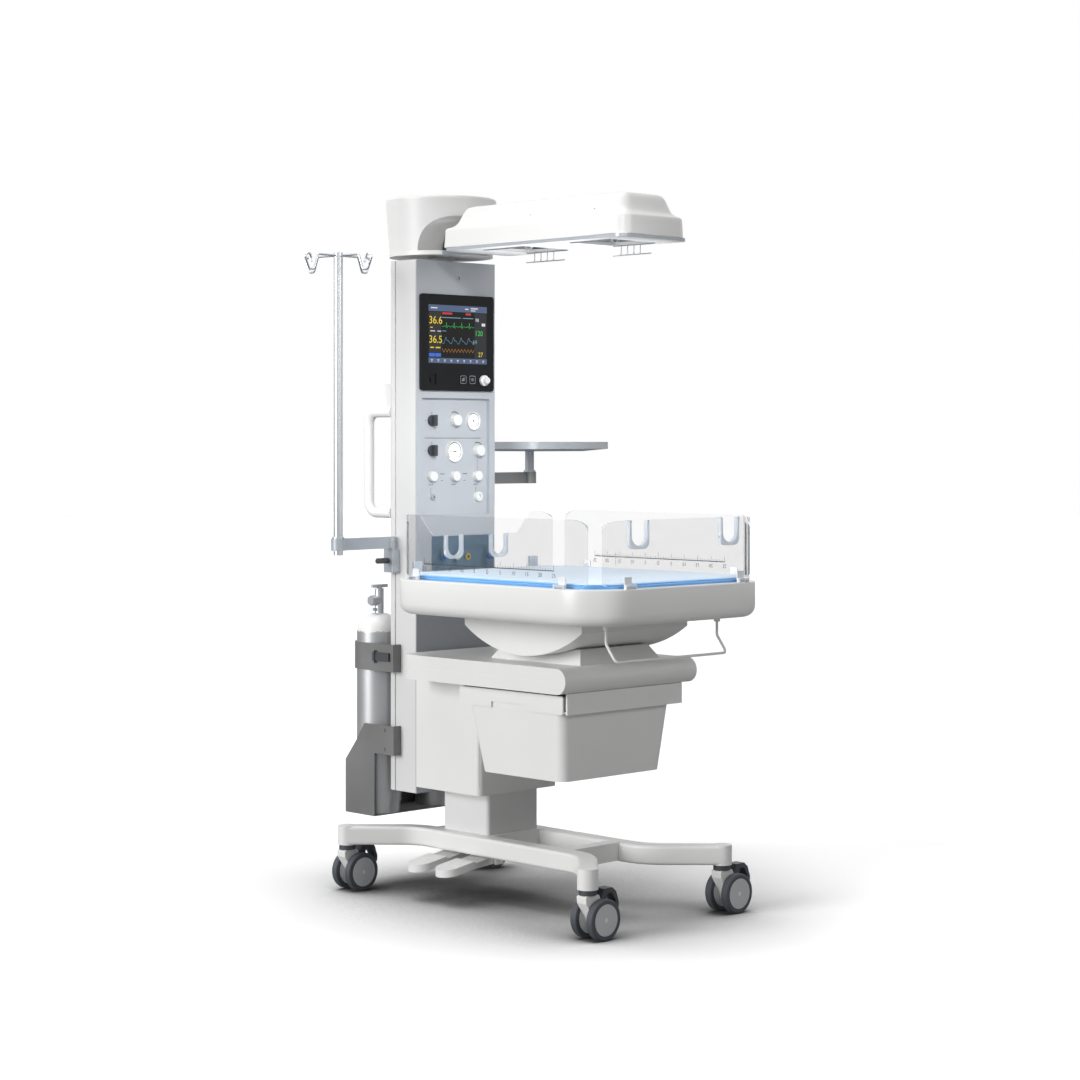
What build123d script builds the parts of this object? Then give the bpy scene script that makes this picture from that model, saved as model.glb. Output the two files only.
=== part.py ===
from build123d import *
import math
import os

os.makedirs("parts", exist_ok=True)

# Infant radiant warmer, sizes in millimetres.
# X runs across the bed, Y runs back from the front caster stems, Z runs up from the floor.

# Base frame and lift post
stem_x = 260.0
stem_rear = 965.5
rail_centre = 111.0
rail_width = 55.0
rail_bottom = 134.0
rail_top = 187.0
rail_round = 9.0
rail_bend = 130.0
boss_radius = 27.5
boss_bottom = 133.0
stem_radius = 8.0
stem_length = 38.0
crossbar_front = 220.0
crossbar_depth = 40.0
crossbar_bottom = 137.0
foot_plate_lead = 18.0
foot_plate_trail = 32.0
post_half = 98.5
post_front = 550.0
post_depth = 186.0
post_height = 419.0
post_wall = 5.0
post_round = 12.0
running_gap = 0.05
slide_gap = 0.25
seat_gap = 0.2

# Casters
wheel_radius = 54.5
rim_radius = 41.0
caster_trail = 28.0
wheel_inner = 18.0
wheel_outer = 40.0
tyre_round = 5.0
fork_half = 17.0
axle_radius = 6.0
collar_radius = 23.5
collar_bottom = 119.0
fork_round = 6.0
fork_profile = ((-24, 0), (24, 0), (35, -24), (48, -58), (42, -82), (14, -82), (5, -60), (-22, -20))
lever_pin_x = 42.0
lever_pin_drop = 15.0
lever_pin_radius = 3.0
lever_half = 15.0
lever_ear_half = 7.0
lever_ear_reach = 6.0
lever_slot_reach = 10.0
lever_round = 2.5
lever_profile = (
    (-7, 8), (3, 26), (33, 27), (48, 15), (58, -13), (57, -29), (50, -29),
    (45, -6), (33, 13), (17, 13), (9, -8), (-6, -8),
)

# Foot pedals
pedal_centres = (705.0, 590.0)
pedal_half = 38.0
pedal_tip = -245.0
pedal_pivot_x = -60.0
pedal_pivot_z = 118.0
pedal_shaft_radius = 6.0
pedal_boss_radius = 11.0
pedal_tip_top = 105.0
pedal_slope = 9.0
pedal_thick = 14.0
pedal_pad = 7.0
pedal_pad_reach = 100.0
pedal_plate = 8.0
pedal_plate_half = 14.0
pedal_shaft_play = 2.0
chevron_reach = 22.0
chevron_width = 7.0
chevron_depth = 1.0

# Lift housing and column
column_half = 152.6
housing_depth = 262.5
column_depth = 124.5
column_drop = 19.0
column_head = 96.0
column_wall = 6.0
column_round = 22.0
column_slot_setback = 90.5
column_slot_width = 5.0
column_slot_depth = 4.0
front_panel_thick = 4.0
housing_lead = 23.0
carriage_clearance = 117.0
housing_wall = 5.0
housing_floor = 22.0
housing_round = 18.0
sensor_x = 9.0
sensor_rise = 49.0
sensor_radius = 6.0
sensor_depth = 3.0

# Monitor
monitor_half = 141.5
monitor_gap = 18.4
monitor_height = 276.0
monitor_thick = 8.0
monitor_round = 9.0
screen_half = 113.5
screen_rise = 78.6
screen_height = 166.9
screen_depth = 2.0
encoder_x = 100.0
encoder_rise = 31.4
encoder_radius = 15.5
encoder_base = 9.0
encoder_tip_radius = 9.5
encoder_height = 20.0
button_places = (19.9, 55.6)
button_rise = 33.0
button_half = 12.5
button_round = 5.0
button_proud = 1.5
button_travel_room = 2.0
port_x = -98.0
port_rise = 32.0
port_size = (28.0, 31.0)
port_round = 3.0
port_depth = 3.0
port_pin = 8.0

# Gas panel
gas_half = 134.5
gas_gap = 56.0
gas_height = 342.6
gas_recess = 12.0
gas_wall = 3.0
gas_round = 6.0
fit_gap = 0.1
divider_rise = 228.0
divider_half = 118.0
divider_width = 2.0
divider_depth = 1.0
spindle_radius = 3.0
spindle_length = 12.0
selector_x = -83.4
selector_rises = (275.4, 189.3)
selector_radius = 16.0
selector_base = 8.0
selector_grip = 13.0
selector_grip_width = 10.0
flow_places = ((3.5, 277.0), (94.0, 189.0))
flow_radius = 16.5
flow_height = 18.0
row_knobs = (-87.0, 1.0, 88.0)
row_rise = 115.5
row_radius = 14.0
row_depth = 17.0
knob_round = 2.0
knob_flutes = 12
knob_flute_share = 0.09
gauge_places = ((75.0, 275.0, 26.5), (0.4, 186.5, 30.5))
gauge_depth = 8.0
gauge_rim = 2.0
gauge_dial_depth = 3.5
glass_thick = 1.5
needle_width = 1.6
needle_thick = 0.8
needle_share = 0.8
needle_tail_share = 0.28
needle_hub = 3.0
needle_angles = (130.0, -90.0)
screen_glass = 2.0
outlet_places = ((-82.0, 56.0, 8.0, 3.5), (95.5, 55.5, 14.0, 7.0))
outlet_proud = 9.0
outlet_bore_depth = 7.0

# Probe sockets
probe_left = -97.0
probe_right = 145.0
probe_rise = 226.0
probe_strip_height = 96.0
probe_thick = 4.0
probe_socket_rise = 35.0
probe_places = (-55.0, -3.0, 38.0, 127.0)
probe_radius = 10.0
probe_bore = 5.5
probe_proud = 7.0

# Head and hood
head_setback = 64.5
neck_radius = 38.5
neck_height = 14.0
spigot_radius = 15.0
spigot_share = 0.8
head_plate_radius = 150.0
head_plate_thick = 12.0
head_low_radius = 149.5
head_high_radius = 161.0
head_height = 157.0
head_wall = 4.0
head_round = 8.0
scoop_reach = 154.0
scoop_radius = 99.0
arm_half = 45.0
hood_arm_lift = 4.0
hood_arm_height = 42.0
hood_arm_setback = 24.0
arm_wall = 4.0
hood_half = 130.0
hood_length = 700.0
hood_setback = 151.0
skirt_lift = 2.0
skirt_height = 53.0
hood_crown = 63.0
hood_top_half = 83.0
hood_front_slope = 42.0
hood_rear_slope = 49.0
hood_round = 24.0
hood_top_round = 16.0
hood_edge_round = 8.0
hood_wall = 4.0
rim_height = 9.0
heater_half = 90.0
front_heater_inset = 82.0
front_heater_length = 155.0
rear_heater_inset = 413.0
rear_heater_length = 166.0
reflector_height = 34.0
reflector_wall = 2.0
reflector_draw = 14.0
element_radius = 6.0
element_cap = 8.0
guard_drop = 28.5
guard_wire = 1.6
guard_bend = 8.0
guard_count = 7
guard_inset = 6.0
hood_screws = ((0.2, 0.5), (0.72, 0.5))
hood_screw_radius = 3.5
hood_screw_proud = 1.0
hood_screw_sunk = 3.0

# Push handles and terminal box
handle_x = 135.0
handle_reach = 103.0
handle_rise = 793.0
handle_length = 290.5
handle_radius = 14.5
handle_bend = 34.0
terminal_half = 110.0
terminal_depth = 71.0
terminal_gap = 18.5
terminal_height = 64.0
terminal_round = 8.0
gland_radius = 9.0
gland_length = 12.0
gland_bore = 4.0
gland_spacing = 40.0

# Accessory brackets, drip pole and monitor shelf
bracket_half = 21.0
bracket_reach = 28.0
bracket_height = 68.0
bracket_round = 4.0
bracket_key = 3.5
left_bracket_rise = 219.0
right_bracket_rise = 399.0
thumb_radius = 8.0
thumb_length = 42.0
thumb_drop = 34.0
thumb_spindle = 4.0
thumb_spindle_length = 12.0
pivot_reach = 15.4
pivot_radius = 6.0
pivot_boss = 13.0
arm_height = 34.0
arm_thick = 9.0
pole_reach = 211.4
pole_radius = 13.0
pole_rise = 55.0
pole_length = 849.0
clamp_radius = 20.0
pole_collar = 17.0
pole_collar_height = 5.0
hook_drop = 8.0
hook_wire = 3.0
hook_bend = 7.0
hook_turn = 6.0
hook_count = 4
full_turn = 360.0
hook_path = ((8, 0), (80, 0), (96, -43), (114, -43), (131, -6), (112, 3), (106, -12))
shelf_reach = 229.4
shelf_post_radius = 13.5
shelf_half_width = 163.0
shelf_half_depth = 184.5
shelf_rise = 193.0
shelf_edge = 21.0
shelf_depth = 28.0
shelf_under_inset = 60.0
shelf_round = 22.0
shelf_rim = 8.0
shelf_rim_height = 3.0
shelf_collar = 18.0

# Gas cylinders and their brackets
tank_x = 111.0
tank_gap = 21.0
tank_radius = 65.0
tank_drop = 76.0
tank_foot = 31.0
tank_foot_inset = 3.0
tank_height = 522.0
tank_dome = 56.0
tank_neck_radius = 16.0
valve_half = 13.0
valve_height = 69.0
valve_hex = 15.0
valve_hex_sides = 6
valve_hex_rise = 35.0
valve_hex_far = 34.0
valve_port_rise = 9.0
valve_port_radius = 5.0
valve_port_reach = 22.0
tee_length = 61.0
tee_width = 9.0
tee_height = 9.0
tee_lift = 3.0
tee_stem = 5.0
tee_stem_depth = 10.0
tee_boss = 8.0
hoop_height = 78.0
hoop_drop = 27.0
hoop_thick = 4.5
hoop_clearance = 1.5
hoop_lap = 58.0
cradle_thick = 3.0
cradle_clearance = 4.6
cradle_floor_setback = 26.0
cradle_arm_rise = 179.0
cradle_arm_height = 83.0
cradle_top_reach = 71.0
cradle_slope_reach = 106.0
cradle_slope_rise = 211.0
cradle_back_rise = 151.0
bracket_screw_lap = 17.0
bracket_screw_insets = (13.0, 14.0)
bracket_screw_radius = 5.0
bracket_screw_proud = 2.0
latch_lap = 44.0
latch_pivot_setback = 20.0
latch_rise = 29.0
latch_height = 25.0
latch_pin = 2.5
latch_barrel = 5.5
latch_plate = 3.5
latch_lug = 5.0

# Table slab, drawer and bed pedestal
slab_half = 255.0
slab_length = 655.5
slab_lap = 215.0
housing_height = 319.0
slab_thick = 68.0
slab_wall = 5.0
slab_corner = 40.0
slab_groove_rise = 34.0
slab_groove_width = 3.0
slab_groove_depth = 1.5
rail_half = 222.0
rail_plate_length = 412.0
rail_setback = 1.0
rail_plate = 6.0
rail_ledge = 12.0
rail_ledge_thick = 4.0
rail_drop = 56.0
face_thick = 6.0
face_setback = 12.0
face_clearance = 2.0
face_gap = 7.0
face_round = 6.0
notch_inset = 144.0
notch_length = 130.0
notch_depth = 16.0
bin_half_left = -222.0
bin_right_top = 200.0
bin_right_low = 165.0
bin_inset_front = 9.0
bin_inset_rear = 25.0
bin_draft_front = 4.0
bin_draft_rear = 48.0
bin_depth = 224.0
bin_lip_drop = 4.0
bin_left_low = -215.0
bin_wall = 3.0
bin_round = 26.0
lip_thick = 4.0
pedestal_half = 156.0
pedestal_half_depth = 172.7
pedestal_height = 40.0
pedestal_draw = 25.0

# Bed
cradle_lift = 19.7
seat_radius = 396.3
seat_play = 0.3
bed_cradle_half = 205.0
bed_cradle_reach = 226.0
bed_cradle_wall = 5.0
panel_x = 328.0
bed_length = 801.4
bed_clearance = 86.1
panel_thick = 6.0
panel_rise = 7.0
side_height = 170.0
front_height = 168.0
corner_flat_x = 258.0
corner_flat_y = 78.0
bent_end = 35.0
panel_round = 34.0
panel_low_round = 14.0
rim_outset = 22.0
tray_rise = 121.0
tray_depth = 96.0
tray_round = 14.0
tray_low_round = 20.0
tray_lip = 28.0
tray_recess = 36.0
tray_wall = 5.0
tray_deck = 5.0
mattress_gap = 2.0
mattress_rise = 16.0
mattress_crown = 5.0
mattress_round = 7.0
slot_offset = 176.0
slot_half = 37.5
slot_depth = 75.0
slot_round = 20.0
rear_slot_offset = 87.0
rear_slot_half = 34.0
rear_slot_rise = 37.0
rear_low_height = 105.0
rear_low_half = 165.0
rear_high_half = 216.0
rear_height = 165.0
rear_step_round = 16.0
hinge_offset = 14.5
hinge_rise = 6.0
hinge_barrel = 4.8
hinge_pin = 2.0
hinge_length = 26.0
hinge_inset = 40.0
hinge_plate = 3.0
hinge_plate_height = 24.0
hinge_web = 4.5
ear_length = 7.0
ear_half = 5.0
guide_x = 225.0
guide_length = 30.0
guide_height = 42.0
guide_wall = 4.0
bail_x = 215.0
bail_setback = 76.0
bail_radius = 3.75
bail_bend_drop = 50.0
bail_drop = 96.0
bail_lean = 35.0
bail_round = 14.0
bail_head_rise = 8.0
bail_socket = 9.0
bail_socket_drop = 14.0
bail_socket_depth = 38.0


# Places worked out from these sizes: post, housing and column
post_rear = post_front + post_depth
foot_plate_front = post_front - foot_plate_lead
foot_plate_rear = post_rear + foot_plate_trail
post_top = rail_top + post_height
housing_front = post_front - housing_lead
column_front = housing_front + housing_depth
column_rear = column_front + column_depth
column_slot_y = column_front + column_slot_setback
housing_bottom = rail_top + carriage_clearance
column_bottom = housing_bottom - column_drop

# Table slab and drawer
slab_bottom = housing_bottom + housing_height
slab_top = slab_bottom + slab_thick
slab_groove_height = slab_bottom + slab_groove_rise
slab_rear = housing_front + slab_lap
slab_front = slab_rear - slab_length
face_rear = housing_front - face_clearance
rail_plate_rear = face_rear - rail_setback
rail_plate_front = rail_plate_rear - rail_plate_length
face_front = rail_plate_front + face_setback
rail_low = slab_bottom - rail_drop
face_bottom = rail_low
face_top = slab_bottom - face_gap
notch_front = face_front + notch_inset
notch_rear = notch_front + notch_length
bin_front = face_front + bin_inset_front
bin_rear = face_rear - bin_inset_rear
bin_front_low = bin_front + bin_draft_front
bin_rear_low = bin_rear - bin_draft_rear
bin_top = face_top - bin_lip_drop
bin_bottom = bin_top - bin_depth

# Column front, from the probe strip up
probe_bottom = slab_top + probe_rise
probe_top = probe_bottom + probe_strip_height
probe_height = probe_bottom + probe_socket_rise
gas_bottom = probe_top + gas_gap
gas_top = gas_bottom + gas_height
divider_height = gas_bottom + divider_rise
row_height = gas_bottom + row_rise
selector_heights = [gas_bottom + rise for rise in selector_rises]
flow_knobs = [(x, gas_bottom + rise) for x, rise in flow_places]
gauges = [(x, gas_bottom + rise, radius) for x, rise, radius in gauge_places]
outlets = [(x, gas_bottom + rise, outer, bore) for x, rise, outer, bore in outlet_places]
monitor_bottom = gas_top + monitor_gap
monitor_top = monitor_bottom + monitor_height
screen_bottom = monitor_bottom + screen_rise
screen_top = screen_bottom + screen_height
encoder_place = (encoder_x, monitor_bottom + encoder_rise)
button_height = monitor_bottom + button_rise
port_height = monitor_bottom + port_rise
column_top = monitor_top + column_head
sensor_window = (sensor_x, monitor_top + sensor_rise, sensor_radius)

# Head and hood
neck_top = column_top + neck_height
head_plate_top = neck_top + head_plate_thick
head_top = head_plate_top + head_height
head_y = column_front + head_setback
scoop_y = head_y - scoop_reach
arm_rear = head_y - hood_arm_setback
hood_rear = head_y - hood_setback
hood_front = hood_rear - hood_length
hood_top_front = hood_front + hood_front_slope
hood_top_rear = hood_rear - hood_rear_slope
skirt_bottom = head_plate_top + skirt_lift
skirt_top = skirt_bottom + skirt_height
hood_top = skirt_top + hood_crown
rim_bottom = skirt_bottom - rim_height
guard_bottom = rim_bottom - guard_drop
arm_bottom = skirt_bottom + hood_arm_lift
arm_top = arm_bottom + hood_arm_height
front_heater = hood_front + front_heater_inset
rear_heater = hood_front + rear_heater_inset
heater_spans = (
    (front_heater, front_heater + front_heater_length), (rear_heater, rear_heater + rear_heater_length),
)

# Handles, brackets, pole and shelf
handle_y = column_rear + handle_reach
handle_bottom = column_bottom + handle_rise
handle_top = handle_bottom + handle_length
terminal_bottom = handle_top + terminal_gap
terminal_top = terminal_bottom + terminal_height
terminal_rear = column_rear + terminal_depth
left_bracket_bottom = slab_top + left_bracket_rise
right_bracket_bottom = slab_top + right_bracket_rise
pole_bottom = left_bracket_bottom + pole_rise
pole_top = pole_bottom + pole_length
hook_height = pole_top - hook_drop
pole_x = column_half + pole_reach
shelf_post_x = column_half + shelf_reach
shelf_top = right_bracket_bottom + shelf_rise
shelf_under = shelf_top - shelf_depth

# Gas cylinders
tank_y = column_rear + tank_gap + tank_radius
tank_bottom = column_bottom - tank_drop
tank_shoulder = tank_bottom + tank_height
tank_neck = tank_shoulder + tank_dome
valve_top = tank_neck + valve_height
valve_hex_height = tank_neck + valve_hex_rise
valve_port_height = tank_neck + valve_port_rise
hoop_top = tank_shoulder - hoop_drop
hoop_bottom = hoop_top - hoop_height
hoop_front = column_rear - hoop_lap
latch_bottom = hoop_bottom + latch_rise
latch_top = latch_bottom + latch_height
latch_front = column_rear - latch_lap
latch_pivot_y = column_rear + latch_pivot_setback
cradle_side = tank_x + tank_radius + cradle_clearance
cradle_floor_front = column_rear + cradle_floor_setback
cradle_arm_bottom = tank_bottom + cradle_arm_rise
cradle_arm_top = cradle_arm_bottom + cradle_arm_height
cradle_top_rear = column_rear + cradle_top_reach
cradle_slope_rear = column_rear + cradle_slope_reach
cradle_slope_height = tank_bottom + cradle_slope_rise
cradle_back_height = tank_bottom + cradle_back_rise
bracket_screw_y = column_rear - bracket_screw_lap
bracket_screw_heights = (
    cradle_arm_top - bracket_screw_insets[0], cradle_arm_bottom + bracket_screw_insets[1],
)

# Bed
panel_rear = column_front - bed_clearance
panel_front = panel_rear - bed_length
tilt_y = (panel_front + panel_rear) / 2
tilt_z = slab_top + seat_radius + cradle_lift
cradle_radius = seat_radius - seat_play
pedestal_front = tilt_y - pedestal_half_depth
pedestal_rear = tilt_y + pedestal_half_depth
pedestal_top = slab_top + pedestal_height
tray_bottom = slab_top + tray_rise
tray_rim = tray_bottom + tray_depth
mattress_top = tray_rim + mattress_rise
panel_bottom = tray_rim + panel_rise
side_top = panel_bottom + side_height
front_top = panel_bottom + front_height
slot_bottom = side_top - slot_depth
rear_slot_bottom = panel_bottom + rear_slot_rise
rear_low_top = panel_bottom + rear_low_height
rear_top = panel_bottom + rear_height
hinge_height = tray_rim + hinge_rise
bail_y = panel_front + bail_setback
bail_low_y = bail_y - bail_lean
bail_bend_height = tray_bottom - bail_bend_drop
bail_low_height = tray_bottom - bail_drop
bail_head = tray_bottom + bail_head_rise
bail_socket_bottom = tray_bottom - bail_socket_drop


# Shared helpers
def block(x0, x1, y0, y1, z0, z1):
    """A box between its bounds."""
    body = Box(x1 - x0, y1 - y0, z1 - z0)
    return Pos((x0 + x1) / 2, (y0 + y1) / 2, (z0 + z1) / 2) * body


def soft_block(x0, x1, y0, y1, z0, z1, radius, axis=Axis.Z):
    """A box with the edges along one axis rounded."""
    body = block(x0, x1, y0, y1, z0, z1)
    return fillet(body.edges().filter_by(axis), radius)


def rod(start, finish, radius):
    """A round bar between two points."""
    run = Vector(*finish) - Vector(*start)
    plane = Plane(origin=start, z_dir=run)
    return extrude(plane * Circle(radius), run.length)


def tube(start, finish, radius, bore):
    """A round bar with a bore right through."""
    return rod(start, finish, radius) - rod(start, finish, bore)


def bent_bar(points, radius, bend):
    """A round bar swept along a path with rounded corners."""
    path = FilletPolyline(*points, radius=bend)
    section = Plane(origin=path @ 0, z_dir=path % 0) * Circle(radius)
    return sweep(section, path)


def plan_prism(points, z0, z1, radius=0):
    """A plan outline raised between two heights."""
    face = Polygon(*points, align=None)
    if radius:
        face = fillet(face.vertices(), radius)
    return extrude(Pos(0, 0, z0) * face, z1 - z0, dir=(0, 0, 1))


def side_prism(points, x0, x1, radius=0):
    """An outline in Y and Z carried along X."""
    face = Polygon(*points, align=None)
    if radius:
        face = fillet(face.vertices(), radius)
    return extrude(Plane.YZ.offset(x0) * face, x1 - x0, dir=(1, 0, 0))


def front_prism(points, y0, y1, radius=0):
    """An outline in X and Z carried back along Y."""
    face = Polygon(*points, align=None)
    if radius:
        face = fillet(face.vertices(), radius)
    plane = Plane(origin=(0, y1, 0), x_dir=(1, 0, 0), z_dir=(0, -1, 0))
    return extrude(plane * face, y1 - y0, dir=(0, -1, 0))


def mirrored(solid):
    """The same piece on the other side of the bed."""
    return mirror(solid, about=Plane.YZ)


def turned(solid, x, y, degrees):
    """A piece turned about an upright axis."""
    return Pos(x, y, 0) * Rot(0, 0, degrees) * Pos(-x, -y, 0) * solid


# Base frame
def base_rail(side):
    run = stem_x - rail_centre
    middle = (rail_bottom + rail_top) / 2
    path = FilletPolyline(
        (stem_x * side, 0, middle),
        (rail_centre * side, run, middle),
        (rail_centre * side, stem_rear - run, middle),
        (stem_x * side, stem_rear, middle),
        radius=rail_bend,
    )
    across = Vector(0, 0, 1).cross(path % 0)
    plane = Plane(origin=path @ 0, x_dir=across, z_dir=path % 0)
    return sweep(plane * RectangleRounded(rail_width, rail_top - rail_bottom, rail_round), path)


stems = [
    (-stem_x, 0),
    (stem_x, 0),
    (-stem_x, stem_rear),
    (stem_x, stem_rear),
]


def make_base_frame():
    frame = base_rail(1) + base_rail(-1)
    bar_half = rail_centre - rail_width / 2 + rail_round
    frame += block(
        -bar_half, bar_half, crossbar_front, crossbar_front + crossbar_depth, crossbar_bottom, rail_top
    )
    frame += block(
        -bar_half, bar_half, foot_plate_front, foot_plate_rear, crossbar_bottom, rail_top
    )
    for x, y in stems:
        frame += rod((x, y, boss_bottom), (x, y, rail_top), boss_radius)
    for x, y in stems:
        frame -= rod(
            (x, y, boss_bottom - stem_length), (x, y, boss_bottom + stem_length), stem_radius + running_gap
        )
    low = pedal_pivot_z - pedal_plate_half
    for edge in pedal_plate_edges():
        frame += block(
            pedal_pivot_x - pedal_plate_half, pedal_pivot_x + pedal_plate_half,
            edge, edge + pedal_plate, low, crossbar_bottom + rail_round,
        )
    first, last = pedal_plate_edges()
    frame += rod(
        (pedal_pivot_x, first, pedal_pivot_z), (pedal_pivot_x, last + pedal_plate, pedal_pivot_z),
        pedal_shaft_radius,
    )
    collars = [
        tube((x, y, collar_bottom), (x, y, boss_bottom), collar_radius, stem_radius + running_gap)
        for x, y in stems
    ]
    return [frame] + collars


def pedal_plate_edges():
    first = min(pedal_centres) - pedal_half - pedal_shaft_play - pedal_plate
    last = max(pedal_centres) + pedal_half + pedal_shaft_play
    return first, last


def make_lift_post():
    outer = soft_block(
        -post_half, post_half, post_front, post_rear, rail_top, post_top, post_round
    )
    inner = block(
        -post_half + post_wall, post_half - post_wall, post_front + post_wall,
        post_rear - post_wall, rail_top, post_top - post_wall,
    )
    return [outer - inner]


# Foot pedals
def make_pedal(index):
    centre = pedal_centres[index]
    slope = math.tan(math.radians(pedal_slope))
    pad_end = pedal_tip + pedal_pad_reach
    rise = pedal_pad_reach * slope
    top_end = pedal_tip_top + rise
    arm_end = pedal_pivot_x
    profile = (
        (pedal_tip, pedal_tip_top - pedal_pad), (pad_end, top_end - pedal_pad),
        (arm_end, pedal_pivot_z + pedal_boss_radius), (arm_end, pedal_pivot_z - pedal_boss_radius),
        (pad_end, top_end - pedal_pad - pedal_thick),
        (pedal_tip, pedal_tip_top - pedal_pad - pedal_thick),
    )
    y0 = centre - pedal_half
    y1 = centre + pedal_half
    body = front_prism(profile, y0, y1)
    body += rod((arm_end, y0, pedal_pivot_z), (arm_end, y1, pedal_pivot_z), pedal_boss_radius)
    body -= rod(
        (arm_end, y0, pedal_pivot_z), (arm_end, y1, pedal_pivot_z), pedal_shaft_radius + running_gap
    )
    pad = front_prism(
        (
            (pedal_tip, pedal_tip_top - pedal_pad), (pad_end, top_end - pedal_pad),
            (pad_end, top_end), (pedal_tip, pedal_tip_top),
        ),
        y0, y1,
    )
    limit = rod(
        (pedal_tip + pedal_half, centre, 0), (pedal_tip + pedal_half, centre, rail_bottom), pedal_half
    )
    limit += block(
        pedal_tip + pedal_half, pedal_pivot_x + pedal_boss_radius, y0, y1, 0, rail_bottom
    )
    pad = pad & limit
    body = body & limit
    way = 1 - index * 2
    tip_x = pedal_tip + pedal_pad_reach / 2
    chevron = plan_prism(
        (
            (tip_x + chevron_reach / 2 * way, centre),
            (tip_x - chevron_reach / 2 * way, centre - chevron_reach),
            (tip_x - (chevron_reach / 2 + chevron_width) * way, centre - chevron_reach),
            (tip_x + (chevron_reach / 2 - chevron_width) * way, centre),
            (tip_x - (chevron_reach / 2 + chevron_width) * way, centre + chevron_reach),
            (tip_x - chevron_reach / 2 * way, centre + chevron_reach),
        ),
        0, rail_bottom,
    )
    skin = front_prism(
        (
            (pedal_tip, pedal_tip_top - chevron_depth), (pad_end, top_end - chevron_depth),
            (pad_end, top_end), (pedal_tip, pedal_tip_top),
        ),
        y0, y1,
    )
    return [body, pad - (chevron & skin)]


# Casters
def make_fork(place):
    top = collar_bottom - seat_gap
    profile = [(x, top + z) for x, z in fork_profile]
    fork = front_prism(profile, -fork_half, fork_half, fork_round)
    fork += rod((0, 0, top - fork_round), (0, 0, boss_bottom + stem_length - seat_gap), stem_radius)
    pin_z = top - lever_pin_drop
    fork += block(
        0, lever_pin_x + lever_ear_reach, -lever_ear_half, lever_ear_half,
        pin_z - lever_ear_reach, pin_z + lever_ear_reach,
    )
    fork += rod((lever_pin_x, -lever_half, pin_z), (lever_pin_x, lever_half, pin_z), lever_pin_radius)
    fork += rod(
        (caster_trail, -wheel_outer, wheel_radius), (caster_trail, wheel_outer, wheel_radius), axle_radius
    )
    return [Pos(*place, 0) * fork]


def make_wheels(place):
    pieces = []
    for side in (-1, 1):
        start = (caster_trail, wheel_inner * side, wheel_radius)
        finish = (caster_trail, wheel_outer * side, wheel_radius)
        near = (caster_trail, (fork_half + seat_gap) * side, wheel_radius)
        tyre = tube(start, finish, wheel_radius, rim_radius)
        rims = tyre.edges().filter_by(GeomType.CIRCLE).group_by(SortBy.RADIUS)[-1]
        tyre = fillet(rims, tyre_round)
        hub = tube(near, finish, rim_radius, axle_radius + running_gap)
        pieces += [tyre, hub]
    return [Pos(*place, 0) * piece for piece in pieces]


def make_brake(place):
    pin_z = collar_bottom - seat_gap - lever_pin_drop
    profile = [(lever_pin_x + x, pin_z + z) for x, z in lever_profile]
    lever = front_prism(profile, -lever_half, lever_half, lever_round)
    slot = lever_ear_half + seat_gap
    lever -= block(
        lever_pin_x - lever_slot_reach, lever_pin_x + lever_slot_reach, -slot, slot,
        pin_z - lever_slot_reach, pin_z + lever_slot_reach,
    )
    bore = lever_pin_radius + running_gap
    lever -= rod((lever_pin_x, -lever_half, pin_z), (lever_pin_x, lever_half, pin_z), bore)
    return [Pos(*place, 0) * lever]


# Housing and column
def make_housing():
    outer = block(
        -column_half, column_half, housing_front, column_front, housing_bottom, slab_bottom
    )
    corners = outer.edges().filter_by(Axis.Z).group_by(Axis.Y)[0]
    outer = fillet(corners, housing_round)
    inner = block(
        -column_half + housing_wall, column_half - housing_wall, housing_front + housing_wall,
        column_front - housing_wall, housing_bottom + housing_floor, slab_bottom,
    )
    opening = soft_block(
        -post_half - slide_gap, post_half + slide_gap, post_front - slide_gap, post_rear + slide_gap,
        housing_bottom, housing_bottom + housing_floor, post_round + slide_gap,
    )
    return [outer - inner - opening]


def make_column():
    front = column_front + front_panel_thick
    outer = block(-column_half, column_half, front, column_rear, column_bottom, column_top)
    corners = outer.edges().filter_by(Axis.Z).group_by(Axis.Y)[-1]
    outer = fillet(corners, column_round)
    inner = block(
        -column_half + column_wall, column_half - column_wall, front, column_rear - column_wall,
        column_bottom + column_wall, column_top - column_wall,
    )
    body = outer - inner
    for side in (-1, 1):
        x0, x1 = sorted((column_half * side, (column_half - column_slot_depth) * side))
        body -= block(
            x0, x1, column_slot_y - column_slot_width / 2, column_slot_y + column_slot_width / 2,
            column_bottom, column_top,
        )
    neck = rod((0, head_y, column_top), (0, head_y, neck_top), neck_radius)
    spigot_top = neck_top + (head_plate_top - neck_top) * spigot_share
    neck += rod((0, head_y, column_top), (0, head_y, spigot_top), spigot_radius)
    return [body, neck]


def make_front_panel():
    panel = block(
        -column_half, column_half, column_front, column_front + front_panel_thick,
        column_bottom, column_top,
    )
    panel -= block(
        -gas_half, gas_half, column_front, column_front + front_panel_thick, gas_bottom, gas_top
    )
    x, z, radius = sensor_window
    panel -= rod((x, column_front, z), (x, column_front + sensor_depth, z), radius)
    return [panel]


def make_probe_sockets():
    rear = column_front
    strip = soft_block(
        probe_left, probe_right, rear - probe_thick, rear, probe_bottom, probe_top, knob_round, Axis.Y
    )
    pieces = [strip]
    face = rear - probe_thick
    for x in probe_places:
        socket = tube(
            (x, face, probe_height), (x, face - probe_proud, probe_height), probe_radius, probe_bore
        )
        pieces.append(socket)
    return pieces


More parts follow.
